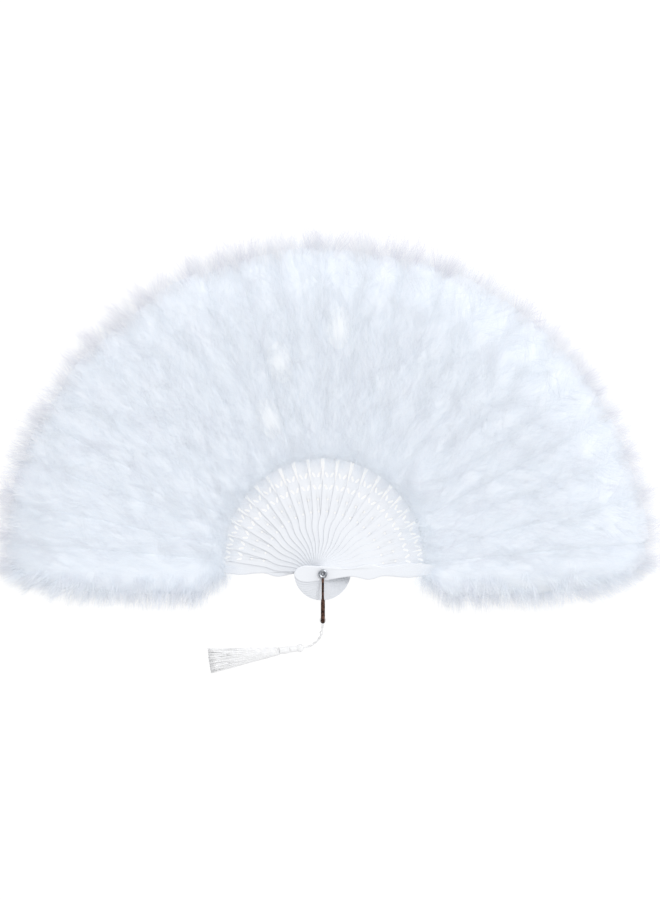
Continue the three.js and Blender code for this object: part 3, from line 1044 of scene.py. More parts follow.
        # The tip is rounded: its corners draw in by powers of the places along and across it.
        across = np.clip(np.abs(skin.points[:, 1]) / (self.end * math.tan(self.half_angle)), 0.0, 1.0)
        along = (skin.points[:, 0] - self.root) / (self.end - self.root)
        drawn_in = along**size.tip_round_along * across**size.tip_round_across
        skin.points[:, 0] -= size.tip_round * drawn_in
        skin = skin.placed(turn_about_up(self.angle), np.zeros(3))
        away = np.hypot(skin.points[:, 0], skin.points[:, 1])
        round_it = np.arctan2(skin.points[:, 1], skin.points[:, 0])
        waves = np.sin(away / size.ripple_wave + size.ripple_bend * np.sin(size.ripple_bends * round_it))
        rays = np.sin(size.ripple_rays * round_it + away / size.ripple_twist)
        skin.points[:, 2] += size.ripple * waves * rays
        skin.places = dense_places(size.body_map, size.body_map_size, skin.places)
        return skin

    def puff(self, place: float) -> Skin:
        """Makes a soft mound of fine white down: a bell cos(pi p / 2)^2 over an ellipse, p from 0 to 1.

        Args:
            place: How far from the rivet it stands.

        Returns:
            The mound, turned to the stick's place.
        """
        size = self.sizes
        p = np.linspace(size.puff_cap, 1.0, size.puff_rows)[:, None]
        turn = -angles_round(size.puff_sides)
        x = place + size.puff_half[0] * p * np.cos(turn)
        y = size.puff_half[1] * p * np.sin(turn)
        z = self.surface_at(x, y) + size.puff_height * np.cos(math.pi * p / 2) ** 2
        quads, places = grid(1, size.puff_rows, size.puff_sides, ring=True)
        points = np.stack([x, y, z], 2).reshape(-1, 3) @ turn_about_up(self.angle)
        whitest = dense_places(size.puff_map, size.puff_map_size, places)
        return Skin(points, quads, whitest, [np.arange(size.puff_sides)[None, ::-1]])

    def clumps(
        self, kind: ClumpKind, rng: np.random.Generator, root: Array, ahead: Array, length: Array
    ) -> Clumps:
        """Gives clumps what they share with their kind, and each its own whiteness.

        Args:
            kind: Their kind.
            rng: The tuft's random numbers.
            root: Where each starts.
            ahead: The direction in which it sets out.
            length: Its length.

        Returns:
            The clumps.
        """
        white = rng.normal(kind.white, self.sizes.white_spread, kind.count)
        white = np.clip(white, *self.sizes.white_limits)
        laid, width, loose = (np.full(kind.count, part) for part in (kind.laid, kind.width, kind.loose))
        return Clumps(root, ahead, length, laid, white, width, loose)

    def crown_clumps(self, rng: np.random.Generator) -> Clumps:
        """Makes clumps all over the matted body's top, pointing outwards.

        Args:
            rng: The tuft's random numbers.

        Returns:
            The clumps, as many on each square millimetre everywhere.
        """
        size, kind = self.sizes, self.sizes.crown_kind
        order = np.arange(kind.count)
        first, last = self.root - size.crown_back, self.end - size.crown_back
        spread = (order + rng.uniform(0.0, 1.0, kind.count)) / kind.count
        x = np.sqrt(first**2 + spread * (last**2 - first**2))
        across = np.mod(order * GOLDEN_SHARE, 1.0) * 2 - 1
        y = self.spread(x, across)
        root = np.stack([x, y, self.surface_at(x, y)], 1)
        yaw = rng.normal(0.0, kind.sway[0], kind.count) + size.crown_splay * across**3
        ahead = headings(yaw, np.full(kind.count, size.crown_rise))
        length = kind.length * rng.uniform(*kind.shares, kind.count)
        return self.clumps(kind, rng, root, ahead, length)

    def rim_clumps(self, rng: np.random.Generator) -> Clumps:
        """Makes clumps that stand out all over the matted body's end, for the fan's soft rim.

        Args:
            rng: The tuft's random numbers.

        Returns:
            The clumps, at heights spread from the ground to the body's top, a few of them longer.
        """
        size, kind = self.sizes, self.sizes.rim_kind
        x = self.end - rng.uniform(0.0, size.rim_depth, kind.count)
        y = self.spread(x, rng.uniform(-1.0, 1.0, kind.count))
        high = rng.uniform(0.0, 1.0, kind.count) ** size.rim_top_power
        z = size.rim_low + high * (self.surface_at(x, y) - size.rim_low)
        # Each tuft ends a little farther out or in, and those on the right reach a little farther.
        uneven = rng.normal(0.0, size.rim_uneven) + size.rim_right * math.cos(self.angle)
        tip = self.reach + uneven + rng.normal(*size.rim_tips, kind.count)
        tip += np.where(rng.uniform(size=kind.count) < size.rim_long_share, size.rim_long, 0.0)
        yaw = rng.normal(0.0, kind.sway[0], kind.count)
        upward = size.rim_fan * (high - size.rim_level_share)
        ahead = headings(yaw, upward + rng.normal(0.0, kind.sway[1], kind.count))
        length = np.clip(tip - x, *(kind.length * share for share in kind.shares))
        return self.clumps(kind, rng, np.stack([x, y, z], 1), ahead, length)

    def stray_clumps(self, rng: np.random.Generator) -> Clumps:
        """Makes a few thin clumps that stand out past the rim as single hairs.

        Args:
            rng: The tuft's random numbers.

        Returns:
            The clumps.
        """
        size, kind = self.sizes, self.sizes.stray_kind
        x = self.end - rng.uniform(0.0, size.stray_depth, kind.count)
        y = self.spread(x, rng.uniform(-1.0, 1.0, kind.count))
        z = rng.uniform(*size.stray_levels, kind.count) * self.surface_at(x, y)
        yaw = rng.normal(0.0, kind.sway[0], kind.count)
        ahead = headings(yaw, rng.normal(0.0, kind.sway[1], kind.count))
        length = self.reach + rng.uniform(*size.stray_tips, kind.count) - x
        return self.clumps(kind, rng, np.stack([x, y, z], 1), ahead, length)

    def root_clumps(self, rng: np.random.Generator) -> Clumps:
        """Makes short clumps at the root that lie back over the pierced sticks.

        Args:
            rng: The tuft's random numbers.

        Returns:
            The clumps, longer at the fan's sides than in its middle.
        """
        size, kind = self.sizes, self.sizes.root_kind
        x = self.root + rng.uniform(*size.root_places, kind.count)
        across = rng.uniform(-size.root_spread, size.root_spread, kind.count)
        y = across * x * math.tan(self.half_angle)
        z = np.maximum(self.surface_at(x, y), self.level + size.root_lift)
        yaw = size.root_yaw + rng.normal(0.0, kind.sway[0], kind.count)
        ahead = headings(yaw, rng.uniform(*size.root_rises, kind.count))
        longest = kind.length * (1.0 + size.root_side_growth * abs(math.cos(self.angle)))
        length = longest * rng.uniform(*kind.shares, kind.count)
        return self.clumps(kind, rng, np.stack([x, y, z], 1), ahead, length)

    def lobe_clumps(self, rng: np.random.Generator) -> Clumps:
        """Makes clumps all over a guard's lobe, pointing outwards and down to the ground.

        Args:
            rng: The tuft's random numbers.

        Returns:
            The clumps.
        """
        size, kind = self.sizes, self.sizes.lobe_kind
        share = (np.arange(kind.count) + rng.uniform(0.0, 1.0, kind.count)) / kind.count
        x = self.root + share * (self.end - self.root)
        middle, deep = self.body_section(x)
        turn = np.radians(rng.uniform(*size.lobe_turns, kind.count))
        round_off = 2.0 / size.lobe_power
        side = self.lobe.value
        y = side * self.lobe_half(x) * np.cos(turn) ** round_off
        z = middle + deep * np.sign(turn) * np.abs(np.sin(turn)) ** round_off
        first, last = size.lobe_yaws
        swung = ease((share - size.lobe_yaw_share) / (1.0 - size.lobe_yaw_share))
        yaw = side * (first + (last - first) * swung + rng.normal(0.0, kind.sway[0], kind.count))
        sloped = size.lobe_rise + size.lobe_rise_swing * np.sin(turn)
        ahead = headings(yaw, sloped + rng.normal(0.0, kind.sway[1], kind.count))
        length = kind.length * rng.uniform(*kind.shares, kind.count)
        return self.clumps(kind, rng, np.stack([x, y, z], 1), ahead, length)

    def barb_paths(self, clumps: Clumps, rng: np.random.Generator) -> tuple[Array, Array, Array]:
        """Grows the barbs of the clumps.

        A barb starts beside its clump's root and runs root + length (d v - up sag v^2 / 2), drawing
        towards the clump's own line as it runs out. One that is laid keeps to the body's surface, over
        which it hovers by a low arch.

        Args:
            clumps: The clumps.
            rng: The tuft's random numbers.

        Returns:
            Paths of shape (barbs, steps, 3), and the place on the map and the width of each barb.
        """
        barb = self.sizes.barbs
        v = np.linspace(0.0, 1.0, barb.points)

        def each(values: Array) -> Array:
            """Repeats a clump's values for each of its barbs."""
            return np.repeat(values, barb.per_clump, axis=0)

        def sagging(root: Array, ahead: Array, length: Array, sag: Array) -> Array:
            """Returns the points of sagging lines."""
            lines = ahead[:, None] * v[None, :, None]
            lines[:, :, 2] -= sag[:, None] * v**2 / 2
            return root[:, None] + length[:, None, None] * lines

        sag = rng.uniform(*barb.sag, len(clumps.length))
        leaders = sagging(clumps.root, clumps.ahead, clumps.length, sag)
        count = len(clumps.length) * barb.per_clump
        ahead = unit(each(clumps.ahead) + rng.normal(0.0, barb.stray, (count, 3)))
        length = each(clumps.length) * rng.uniform(*barb.lengths, count)
        half = each(barb.clump_half + (barb.laid_clump_half - barb.clump_half) * clumps.laid)[:, None]
        root = each(clumps.root) + half * rng.normal(0.0, 1.0, (count, 3)) * np.array(barb.clump_form)
        paths = sagging(root, ahead, length, each(sag))
        drawn_in = rng.uniform(0.0, barb.drawn_in, count) + barb.free_drawn_in * (1.0 - each(clumps.laid))
        drawn_in = (drawn_in[:, None] * v**barb.drawn_in_power)[:, :, None]
        paths += drawn_in * (each(leaders) - paths)
        paths += rng.normal(0.0, barb.unrest, (count, barb.points, 3)) * v[None, :, None]
        arch = (rng.uniform(*barb.arch, count) * length)[:, None] * (v - barb.arch_fall * v**2)
        surface = self.surface_at(paths[:, :, 0], paths[:, :, 1]) + barb.hover + arch
        paths[:, :, 2] += each(clumps.laid)[:, None] * (surface - paths[:, :, 2])
        paths[:, :, 0] = np.minimum(paths[:, :, 0], self.reach + self.sizes.stray_reach)
        white = each(clumps.white) + rng.normal(0.0, barb.white_unrest, count)
        dense = LOOSE_FROM * np.clip(white, 0.0, barb.whitest)
        # Loose hair takes the middle of its part of the map.
        white = np.where(each(clumps.loose), (1.0 + LOOSE_FROM) / 2, dense)
        return paths, white, each(clumps.width)

    def ribbons(self, paths: Array, white: Array, width: Array, rng: np.random.Generator) -> Skin:
        """Gives paths a tapering width, lying mostly flat so that their faces look up.

        Args:
            paths: Points of shape (ribbons, steps, 3) in the stick's frame.
            white: Each ribbon's place on the map.
            width: The width of each ribbon at its root.
            rng: The tuft's random numbers.

        Returns:
            The ribbons as one surface, turned to the stick's place.
        """
        size, barb = self.sizes, self.sizes.barbs
        count, steps = paths.shape[:2]
        paths[:, :, 2] = np.clip(paths[:, :, 2], size.ground_gap, self.crown + size.stray_height)
        ahead = unit(np.gradient(paths, axis=1))
        facing = UP + rng.normal(0.0, barb.tilt, (count, 1, 3))
        across = unit(np.cross(facing, ahead))
        taper = (1.0 - barb.taper * np.linspace(0.0, 1.0, steps))[None, :, None]
        reach = across * taper * width[:, None, None] / 2
        points = np.stack([paths + reach, paths - reach], 2).reshape(-1, 3) @ turn_about_up(self.angle)
        quads, places = grid(count, steps, 2, ring=False)
        row = np.repeat(np.floor(white * barb.tint_rows), steps - 1)[:, None]
        row_share = barb.row_margin + (1.0 - 2 * barb.row_margin) * places[:, :, 1]
        places[:, :, 1] = (row + row_share) / barb.tint_rows
        return Skin(points, quads, places)

    def build(self, frame: dict, material: bpy.types.Material) -> bpy.types.Object:
        """Makes the tuft's mesh in place of its solid.

        Args:
            material: The down's material.

        Returns:
            The tuft's object.
        """
        self.measure(frame)
        rng = np.random.default_rng(self.seed)
        growers = [self.crown_clumps, self.rim_clumps, self.stray_clumps, self.root_clumps]
        if self.lobe is not Lobe.NONE:
            growers.append(self.lobe_clumps)
        barbs = self.barb_paths(Clumps.together([grow(rng) for grow in growers]), rng)
        puffs = [self.puff(place) for place in self.puffs]
        skin = joined([self.matted_body(), *puffs, self.ribbons(*barbs, rng)])
        piece = make_piece(self.part_name("down"), skin, material, self.stick)
        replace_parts(piece, self.part_name("tuft"))
        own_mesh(piece)
        return piece


# Sticks whose down has whiter puffs, and how far from the rivet these stand.
PUFFS = {"stick_09": (131 * MM,), "stick_10": (172 * MM,), "stick_12": (196 * MM,)}
# The guards' down spreads past the open fan.
LOBES = {"rear_guard": Lobe.LEFT, "front_guard": Lobe.RIGHT}


@dataclass
class Sticks:
    """The moulded sticks, kept from the frame and given softened edges and a finish."""

    stick_edge: float = 0.18 * MM
    guard_edge: float = 0.8 * MM
    edge_segments: int = 2
    sharp_from: float = math.radians(40)
    weld: float = 0.005 * MM

    def dress(self, frame: dict, names: list[str], material: bpy.types.Material) -> None:
        """Softens the edges of the sticks and gives them their plastic.

        Args:
            names: The sticks' nodes.
            material: The plastic's material.
        """
        for name in names:
            stick = frame["nodes"][name]
            weld = stick.modifiers.new("weld", "WELD")
            weld.merge_threshold = self.weld
            bevel = stick.modifiers.new("soft_edges", "BEVEL")
            bevel.width = self.guard_edge if name in LOBES else self.stick_edge
            bevel.segments = self.edge_segments
            bevel.use_clamp_overlap = False
            bevel.limit_method = "ANGLE"
            bevel.angle_limit = self.sharp_from
            stick.material_slots[0].material = material
            log.info("%s: moulded plastic", name)


@dataclass
class Rivet:
    """The tubular rivet with its rolled front lip, and the washers under its two heads.

    Attributes:
        foot: The rear head's outline from the ground up, as radius and height in millimetres.
        lip: The outline on to the rolled lip and into the tube, with heights from the rivet's top.
        washer_bore: The radius of a washer's bore.
        washer_edge: The width of a washer's bevels.
        sides: Points round the axis.
    """

    foot: tuple[Range, ...] = (
        (2.7, 0.0), (3.2, 0.05), (3.5, 0.25), (3.6, 0.6), (3.55, 0.95), (3.3, 1.18), (1.6, 1.2),
    )
    lip: tuple[Range, ...] = (
        (1.6, -1.2), (3.3, -1.18), (3.55, -0.95), (3.6, -0.62), (3.45, -0.28), (3.1, -0.06), (2.7, 0.0),
        (2.2, -0.04), (1.75, -0.22), (1.35, -0.6), (1.1, -1.2), (1.0, -2.0), (0.95, -3.0),
    )
    washer_bore: float = 1.9 * MM
    washer_edge: float = 0.12 * MM
    sides: int = 48

    def build(self, material: bpy.types.Material) -> None:
        """Makes the rivet and its washers in place of their solids.

        Args:
            material: The plated steel's material.
        """
        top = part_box("rivet_pin")[1].z
        outline = np.concatenate([np.array(self.foot) * MM, np.array(self.lip) * MM + [0.0, top]])
        self.place("rivet", lathed(outline, self.sides), material, "rivet_pin")
        for node in ("rear_washer", "front_washer"):
            low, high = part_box(node)
            ring = flat_ring(self.washer_bore, high.x, low.z, high.z, self.washer_edge, self.sides)
            self.place(f"{node}_ring", ring, material, node)

    def place(self, name: str, skin: Skin, material: bpy.types.Material, node: str) -> None:
        """Puts a surface in place of a solid on the rear guard.

        Args:
            name: The piece's name.
            skin: Its surface.
            material: The plated steel's material.
            node: The solid.
        """
        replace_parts(make_piece(name, skin, material, "rear_guard"), node)


@dataclass
class Bail:
    """The metal bail: a flat strip from the rivet that rounds out and bends back under the heads."""

    eye_inner: float = 1.9 * MM
    eye_outer: float = 3.15 * MM
    eye_edge: float = 0.15 * MM
    eye_sides: int = 40
    strip_half: Range = (0.95 * MM, 0.55 * MM)
    strip_power: float = 6.0
    strip_start: float = 2.3 * MM
    bar_half: Range = (1.6 * MM, 1.25 * MM)
    bar_power: float = 2.4
    leg_inset: float = 0.6 * MM
    leg_steps: int = 40
    bend_steps: int = 9
    bar_steps: int = 12
    shoulder: float = 19 * MM
    shoulder_length: float = 4 * MM
    corner: float = 3.2 * MM
    sides: int = 20

    def build(self, material: bpy.types.Material) -> None:
        """Makes the bail in place of its solid.

        Args:
            material: The browned brass's material.
        """
        low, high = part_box("bail")
        rear, front = low.z + self.leg_inset, high.z - self.leg_inset
        reach = -low.y - self.bar_half[0]
        path = self.loop_path(rear, front, reach)
        run = np.minimum(-path[:, 1], reach)
        share = ease((run - self.shoulder) / self.shoulder_length)[:, None]
        wide, deep = ((1 - share) * np.array(self.strip_half) + share * np.array(self.bar_half)).T
        halves = np.stack([wide, wide, deep], 1)
        power = np.repeat(self.strip_power + (self.bar_power - self.strip_power) * share, 2, axis=1)
        normal = np.cross(unit(np.gradient(path, axis=0)), ALONG_X)
        strip = swept(path, ALONG_X, normal, halves, power, self.sides)
        skin = joined([strip, self.eye(rear), self.eye(front)])
        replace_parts(make_piece("bail_loop", skin, material, "bail"), "bail")

    def loop_path(self, rear: float, front: float, reach: float) -> Array:
        """Runs out along the front leg, round two quarter bends, and back along the rear leg.

        Args:
            rear: The height of the rear leg.
            front: The height of the front leg.
            reach: How far the crosspiece lies from the rivet.

        Returns:
            Points of shape (steps, 3).
        """
        bend = self.corner
        leg = np.linspace(self.strip_start, reach - bend, self.leg_steps)
        quarter = np.linspace(0.0, math.pi / 2, self.bend_steps)[1:]
        out = np.concatenate([leg, reach - bend + bend * np.sin(quarter)])
        drop = np.concatenate([np.zeros_like(leg), bend * (1 - np.cos(quarter))])
        across = np.linspace(front - bend, rear + bend, self.bar_steps)[1:-1]
        run = np.concatenate([out, np.full_like(across, reach), out[::-1]])
        height = np.concatenate([front - drop, across, (rear + drop)[::-1]])
        return np.stack([np.zeros_like(run), -run, height], 1)

    def eye(self, level: float) -> Skin:
        """Returns the flat ring of a leg round the rivet, at a height."""
        half = self.strip_half[1]
        ring = flat_ring(self.eye_inner, self.eye_outer, -half, half, self.eye_edge, self.eye_sides)
        return ring.placed(np.eye(3), level * UP)


# The cord's route from the crosspiece to the tassel, in millimetres: across, out and up.
CORD_ROUTE = [
    (0.0, -40.7, 17.0), (-0.1, -42.9, 17.0), (-0.4, -45.0, 16.46), (-0.8, -47.1, 15.53),
    (-1.2, -49.2, 14.19), (-1.7, -51.3, 12.71), (-2.5, -53.4, 11.1), (-3.6, -55.4, 9.5),
    (-5.1, -57.3, 8.02), (-6.9, -59.0, 6.68), (-8.8, -60.4, 5.61), (-10.8, -61.5, 4.67),
    (-12.8, -62.3, 4.0), (-14.2, -62.7, 3.73), (-15.6, -62.9, 3.6),
]


@dataclass
class Tassel:
    """The tassel on its doubled cord: loop, two strands, head, binding and skirt."""

    angle: float = math.radians(188)
    strand_radius: float = 0.56 * MM
    strand_sides: int = 10
    cord_diameter: float = 2.4 * MM
    cord_steps: int = 81
    lay_length: float = 13 * MM
    eye_place: float = 9.5 * MM
    eye_half: float = 0.55 * MM
    eye_length: float = 3.2 * MM
    # The bail's crosspiece as the loop meets it, and how far past its sides the loop's ends come.
    bar_radius: float = 1.6 * MM
    bar_back: float = 1.9 * MM
    loop_gap: float = 0.06 * MM
    loop_past: float = 0.38 * math.pi
    loop_steps: int = 37
    head_start: float = 0.3 * MM
    head_length: float = 11 * MM
    head_radius: float = 3.6 * MM
    head_rows: int = 40
    head_sides: int = 84
    head_fit: float = 0.98
    bulb_start: float = 0.12
    bulb_share: float = 0.62
    bulb_power: float = 0.7
    neck_radius: float = 2.6 * MM
    neck_share: float = 0.3
    ridges: int = 14
    ridge_depth: float = 0.07
    ridge_twist: float = 2.0
    binding_start: float = 11.6 * MM
    binding_length: float = 8.4 * MM
    binding_radius: float = 3 * MM
    binding_thread: float = 0.7 * MM
    binding_groove: float = 0.26 * MM
    binding_swell: float = 0.2
    binding_power: float = 0.5
    binding_rows: int = 110
    binding_sides: int = 48
    skirt_start: float = 20.3 * MM
    skirt_length: float = 58 * MM
    skirt_root_half: float = 2.7 * MM
    skirt_end_half: Range = (9.9 * MM, 3.3 * MM)
    skirt_spread_power: float = 0.9
    skirt_settled_share: float = 0.4
    skirt_lift: float = 0.4 * MM
    skirt_seed: int = 71
    threads: int = 220
    thread_radius: float = 0.42 * MM
    thread_gap: float = 0.1 * MM
    thread_steps: int = 12
    thread_sides: int = 5
    wave_heights: Range = (0.2 * MM, 0.7 * MM)
    wave_counts: Range = (0.8, 1.6)
    cut_uneven: float = 0.012

    def build(self, material: bpy.types.Material) -> None:
        """Makes the tassel and its cord in place of their solids.

        Args:
            material: The rayon's material.
        """
        route = np.array(CORD_ROUTE) * MM
        head = self.place("tassel_knob", self.head(), route[-1], material, "tassel_head")
        binding = self.place("tassel_wrap", self.binding(), route[-1], material, "tassel_binding")
        self.place("tassel_threads", self.skirt(), route[-1], material, "tassel_skirt")
        line = self.smoothed(route)
        cord = make_piece("tassel_strands", self.strands(line), material, "tassel")
        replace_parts(cord, "tassel_cord")
        make_piece("tassel_loop", self.loop(route[0]), material, "tassel")

    def smoothed(self, route: Array) -> Array:
        """Runs a smooth curve through the route's points.

        Each stretch is the cubic whose end slopes are half the way between its neighbours.

        Args:
            route: The points.

        Returns:
            Points of shape (steps, 3).
        """
        slopes = np.gradient(route, axis=0)
        place = np.linspace(0.0, len(route) - 1.0, self.cord_steps)
        first = np.minimum(place.astype(int), len(route) - 2)
        s = (place - first)[:, None]
        start, end = route[first], route[first + 1]
        held = (2 * s**3 - 3 * s**2 + 1) * start + (3 * s**2 - 2 * s**3) * end
        return held + (s**3 - 2 * s**2 + s) * slopes[first] + (s**3 - s**2) * slopes[first + 1]

    def strands(self, line: Array) -> Skin:
        """Winds two strands round the cord's line, parted in one place by an eye-shaped gap.

        Args:
            line: The cord's centre line.

        Returns:
            The two strands as one surface.
        """
        from_eye = run_lengths(line) - self.eye_place
        ahead = unit(np.gradient(line, axis=0))
        across = unit(np.cross(UP, ahead))
        above = np.cross(ahead, across)
        apart = self.strand_radius + self.eye_half * np.exp(-((from_eye / self.eye_length) ** 2))
        # The strands lie side by side at the eye.
        phase = 2 * math.pi * from_eye[:, None] / self.lay_length
        offset = apart[:, None] * (np.cos(phase) * across + np.sin(phase) * above)
        return tubes(np.stack([line + offset, line - offset]), self.strand_radius, self.strand_sides)

    def loop(self, exit_point: Array) -> Skin:
        """Lays one strand round the bail's crosspiece, from one side of the exit to the other.

        Args:
            exit_point: Where the cord leaves the crosspiece.

        Returns:
            The loop.
        """
        bar = np.array([0.0, exit_point[1] + self.bar_back, exit_point[2]])
        turn = np.linspace(-self.loop_past, math.pi + self.loop_past, self.loop_steps)
        reach = self.bar_radius + self.strand_radius + self.loop_gap
        circle = np.stack([np.cos(turn), np.sin(turn), np.zeros_like(turn)], 1)
        return tubes((bar + reach * circle)[None], self.strand_radius, self.strand_sides)

    def place(
        self, name: str, skin: Skin, start: Array, material: bpy.types.Material, node: str
    ) -> bpy.types.Object:
        """Lays a surface made along +X at the cord's end, in place of a solid.

        Args:
            name: The piece's name.
            skin: Its surface along +X, at its height over the ground.
            start: The cord's end.
            material: The rayon's material.
            node: The solid.

        Returns:
            The piece.
        """
        laid = skin.placed(turn_about_up(self.angle), np.array([start[0], start[1], 0.0]))
        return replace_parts(make_piece(name, laid, material, "tassel"), node)

    def along_x(self, radii: Array, heights: Array, start: float) -> Skin:
        """Turns a surface about the Z axis and lays it along +X from a place, at the head's height.

        Args:
            radii: Its radii, as turned() takes them.
            heights: Its heights.
            start: Where it starts.

        Returns:
            The surface.
        """
        lay_down = np.array([[0.0, 1.0, 0.0], [0.0, 0.0, 1.0], [1.0, 0.0, 0.0]])
        return turned(radii, heights).placed(lay_down, np.array([start, 0.0, self.head_radius]))

    def head(self) -> Skin:
        """Makes the knob: a bulb and then a neck, r = bulb(s) (1 + ridge (|cos(k t + twist s)| - 1))."""
        s = np.linspace(0.0, 1.0, self.head_rows)[:, None]
        along = np.clip(self.bulb_start + (1.0 - self.bulb_start) * s / self.bulb_share, 0.0, 1.0)
        swell = np.sin(math.pi * along) ** self.bulb_power
        bulb = np.maximum(self.head_radius * swell, self.neck_radius * ease(s / self.neck_share))
        around = self.ridges / 2 * angles_round(self.head_sides) + self.ridge_twist * s
        ridge = 1.0 + self.ridge_depth * (np.abs(np.cos(around)) - 1.0)
        return self.along_x(bulb * ridge * self.head_fit, s[:, 0] * self.head_length, self.head_start)

    def binding(self) -> Skin:
        """Makes the wound thread: r = collar(s) with a half-round ridge that climbs one thread each turn."""
        s = np.linspace(0.0, 1.0, self.binding_rows)[:, None]
        turn = np.arange(self.binding_sides) / self.binding_sides
        wound = s * self.binding_length / self.binding_thread + turn
        swell = np.sin(math.pi * s) ** self.binding_power
        collar = self.binding_radius * (1.0 - self.binding_swell + self.binding_swell * swell)
        radii = collar - self.binding_groove * (1.0 - np.abs(np.sin(math.pi * wound)))
        return self.along_x(radii, s[:, 0] * self.binding_length, self.binding_start)

    def skirt(self) -> Skin:
        """Makes threads that fan out flat from the binding to a blunt cut end.

        Thread k starts at a place in a disc, spread evenly by the golden angle, and eases to the same
        place in a flat ellipse at the cut end, with a small wave of its own.

        Returns:
            The threads as one surface.
        """
        rng = np.random.default_rng(self.skirt_seed)
        each, order = (self.threads, 1), np.arange(self.threads)
        out = np.sqrt((order + 0.5) / self.threads)
        turn = 2 * math.pi * GOLDEN_SHARE * order
        disc = np.stack([out * np.cos(turn), out * np.sin(turn)], 1)
        v = np.linspace(0.0, 1.0, self.thread_steps)
        half = np.array(self.skirt_end_half)
        spread = v[None, :, None] ** self.skirt_spread_power
        section = disc[:, None] * ((1 - spread) * self.skirt_root_half + spread * half)
        height = rng.uniform(*self.wave_heights, each)
        waves = v * rng.uniform(*self.wave_counts, each) + rng.uniform(0.0, 1.0, each)
        wave = height * np.sin(2 * math.pi * waves)
        long = self.skirt_length * (1.0 - np.abs(rng.normal(0.0, self.cut_uneven, self.threads)))
        fall = half[1] + self.skirt_lift - self.head_radius
        settle = self.head_radius + fall * ease(v / self.skirt_settled_share)
        x = self.skirt_start + long[:, None] * v
        y = section[:, :, 0] + wave * v
        z = np.maximum(settle + section[:, :, 1], self.thread_radius + self.thread_gap)
        return tubes(np.stack([x, y, z], 2), self.thread_radius, self.thread_sides)


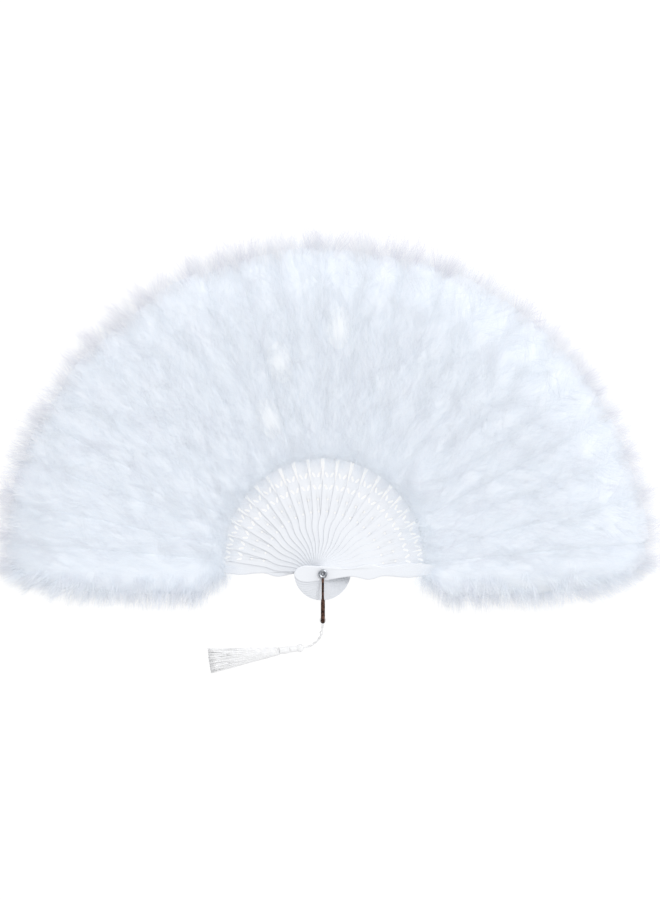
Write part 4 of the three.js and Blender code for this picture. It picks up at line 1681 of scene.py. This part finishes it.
@dataclass
class Studio:
    """A white floor, soft light from the upper right of the picture, and the camera straight above."""

    camera_place: tuple[float, float, float] = (5.7 * MM, 98.5 * MM, 1100 * MM)
    picture_height: float = 738 * MM
    floor_half: float = 4.0
    floor_gap: float = 0.2 * MM
    paper: str = "#F6F6F6"
    glow: float = 1.08
    glow_share: float = 0.9
    white: str = "#FFFFFF"
    sky: float = 0.86
    sky_slope: tuple[float, float, float] = (0.2, 0.4, 0.0)
    lamp_place: tuple[float, float, float] = (1.38, 1.25, 4.2)
    lamp_aim: tuple[float, float, float] = (0.0, 80 * MM, 0.0)
    lamp_size: float = 1.0
    lamp_watts: float = 46.0

    def camera(self) -> None:
        """Makes the camera, whose picture takes in picture_height of the floor."""
        data = bpy.data.cameras.new("camera")
        data.sensor_fit = "VERTICAL"
        data.angle = 2 * math.atan(self.picture_height / 2 / self.camera_place[2])
        camera = add_object("camera", data)
        camera.location = self.camera_place
        bpy.context.scene.camera = camera

    def seen_by_eye(self, tree: bpy.types.NodeTree, share: float) -> bpy.types.NodeSocket:
        """Gives share for rays that the picture, a mirror or glass sees, and 0 for light.

        Args:
            tree: The node tree.
            share: The value for those rays.

        Returns:
            The value's socket.
        """
        rays = add_node(tree, "ShaderNodeLightPath").outputs
        shiny = {0: rays["Is Glossy Ray"], 1: rays["Is Transmission Ray"]}
        either = add_node(tree, "ShaderNodeMath", shiny, operation="MAXIMUM").outputs[0]
        seen = {0: rays["Is Camera Ray"], 1: either}
        all_seen = add_node(tree, "ShaderNodeMath", seen, operation="MAXIMUM").outputs[0]
        return add_node(tree, "ShaderNodeMath", {0: all_seen, 1: share}, operation="MULTIPLY").outputs[0]

    def floor(self) -> None:
        """Lays white paper that glows to the eye and still takes the object's shadow."""
        half = self.floor_half
        corners = [(-half, -half), (half, -half), (half, half), (-half, half)]
        mesh = bpy.data.meshes.new("floor")
        mesh.from_pydata([(x, y, -self.floor_gap) for x, y in corners], [], [(0, 1, 2, 3)])
        paper = bpy.data.materials.new("white_paper")
        paper.use_nodes = True
        tree = paper.node_tree
        tree.nodes.remove(tree.nodes["Principled BSDF"])
        matt = add_node(tree, "ShaderNodeBsdfDiffuse", {"Color": linear(self.paper)})
        glow = add_node(tree, "ShaderNodeEmission", {"Strength": self.glow})
        share = self.seen_by_eye(tree, self.glow_share)
        both = add_node(tree, "ShaderNodeMixShader", {0: share, 1: matt.outputs[0], 2: glow.outputs[0]})
        tree.links.new(both.outputs[0], tree.nodes["Material Output"].inputs["Surface"])
        mesh.materials.append(paper)
        add_object("floor", mesh)

    def light(self) -> None:
        """Lights the object from a sky that brightens to the right and beyond the fan, and from one lamp."""
        world = bpy.data.worlds.new("white_room")
        bpy.context.scene.world = world
        world.use_nodes = True
        tree = world.node_tree
        direction = add_node(tree, "ShaderNodeTexCoord").outputs["Generated"]
        along = {0: direction, 1: self.sky_slope}
        share = add_node(tree, "ShaderNodeVectorMath", along, operation="DOT_PRODUCT").outputs["Value"]
        slope = {0: share, 1: self.sky, 2: self.sky}
        glow = add_node(tree, "ShaderNodeMath", slope, operation="MULTIPLY_ADD").outputs[0]
        extra = self.seen_by_eye(tree, 1.0 - self.sky)
        strength = add_node(tree, "ShaderNodeMath", {0: extra, 1: glow}, operation="ADD").outputs[0]
        fill(tree, tree.nodes["Background"], {"Color": linear(self.white), "Strength": strength})
        data = bpy.data.lights.new("soft_lamp", "AREA")
        data.size = self.lamp_size
        data.energy = self.lamp_watts
        lamp = add_object("soft_lamp", data)
        lamp.location = self.lamp_place
        aim = Vector(self.lamp_aim) - Vector(self.lamp_place)
        lamp.rotation_euler = aim.to_track_quat("-Z", "Y").to_euler()

    def build(self) -> None:
        """Sets the picture up."""
        bpy.context.scene.view_settings.view_transform = "Standard"
        self.camera()
        self.floor()
        self.light()


def main() -> None:
    """Builds the fan in order, from the studio to the feathers."""
    logging.basicConfig(level=logging.INFO, format="%(name)s %(message)s")
    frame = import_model()
    Studio().build()
    Tassel().build(RayonThread().material())
    inner = [f"stick_{number:02d}" for number in range(1, INNER_STICKS + 1)]
    sticks = ["rear_guard", *inner, "front_guard"]
    Sticks().dress(frame, sticks, MouldedPlastic().material())
    Rivet().build(NICKEL.material())
    Bail().build(BROWNED_BRASS.material())
    down = Down().material()
    for number, stick in enumerate(sticks):
        lobe = LOBES.get(stick, Lobe.NONE)
        Tuft(stick, lobe, FIRST_SEED + number, PUFFS.get(stick, ())).build(frame, down)


if __name__ == "__main__":
    main()
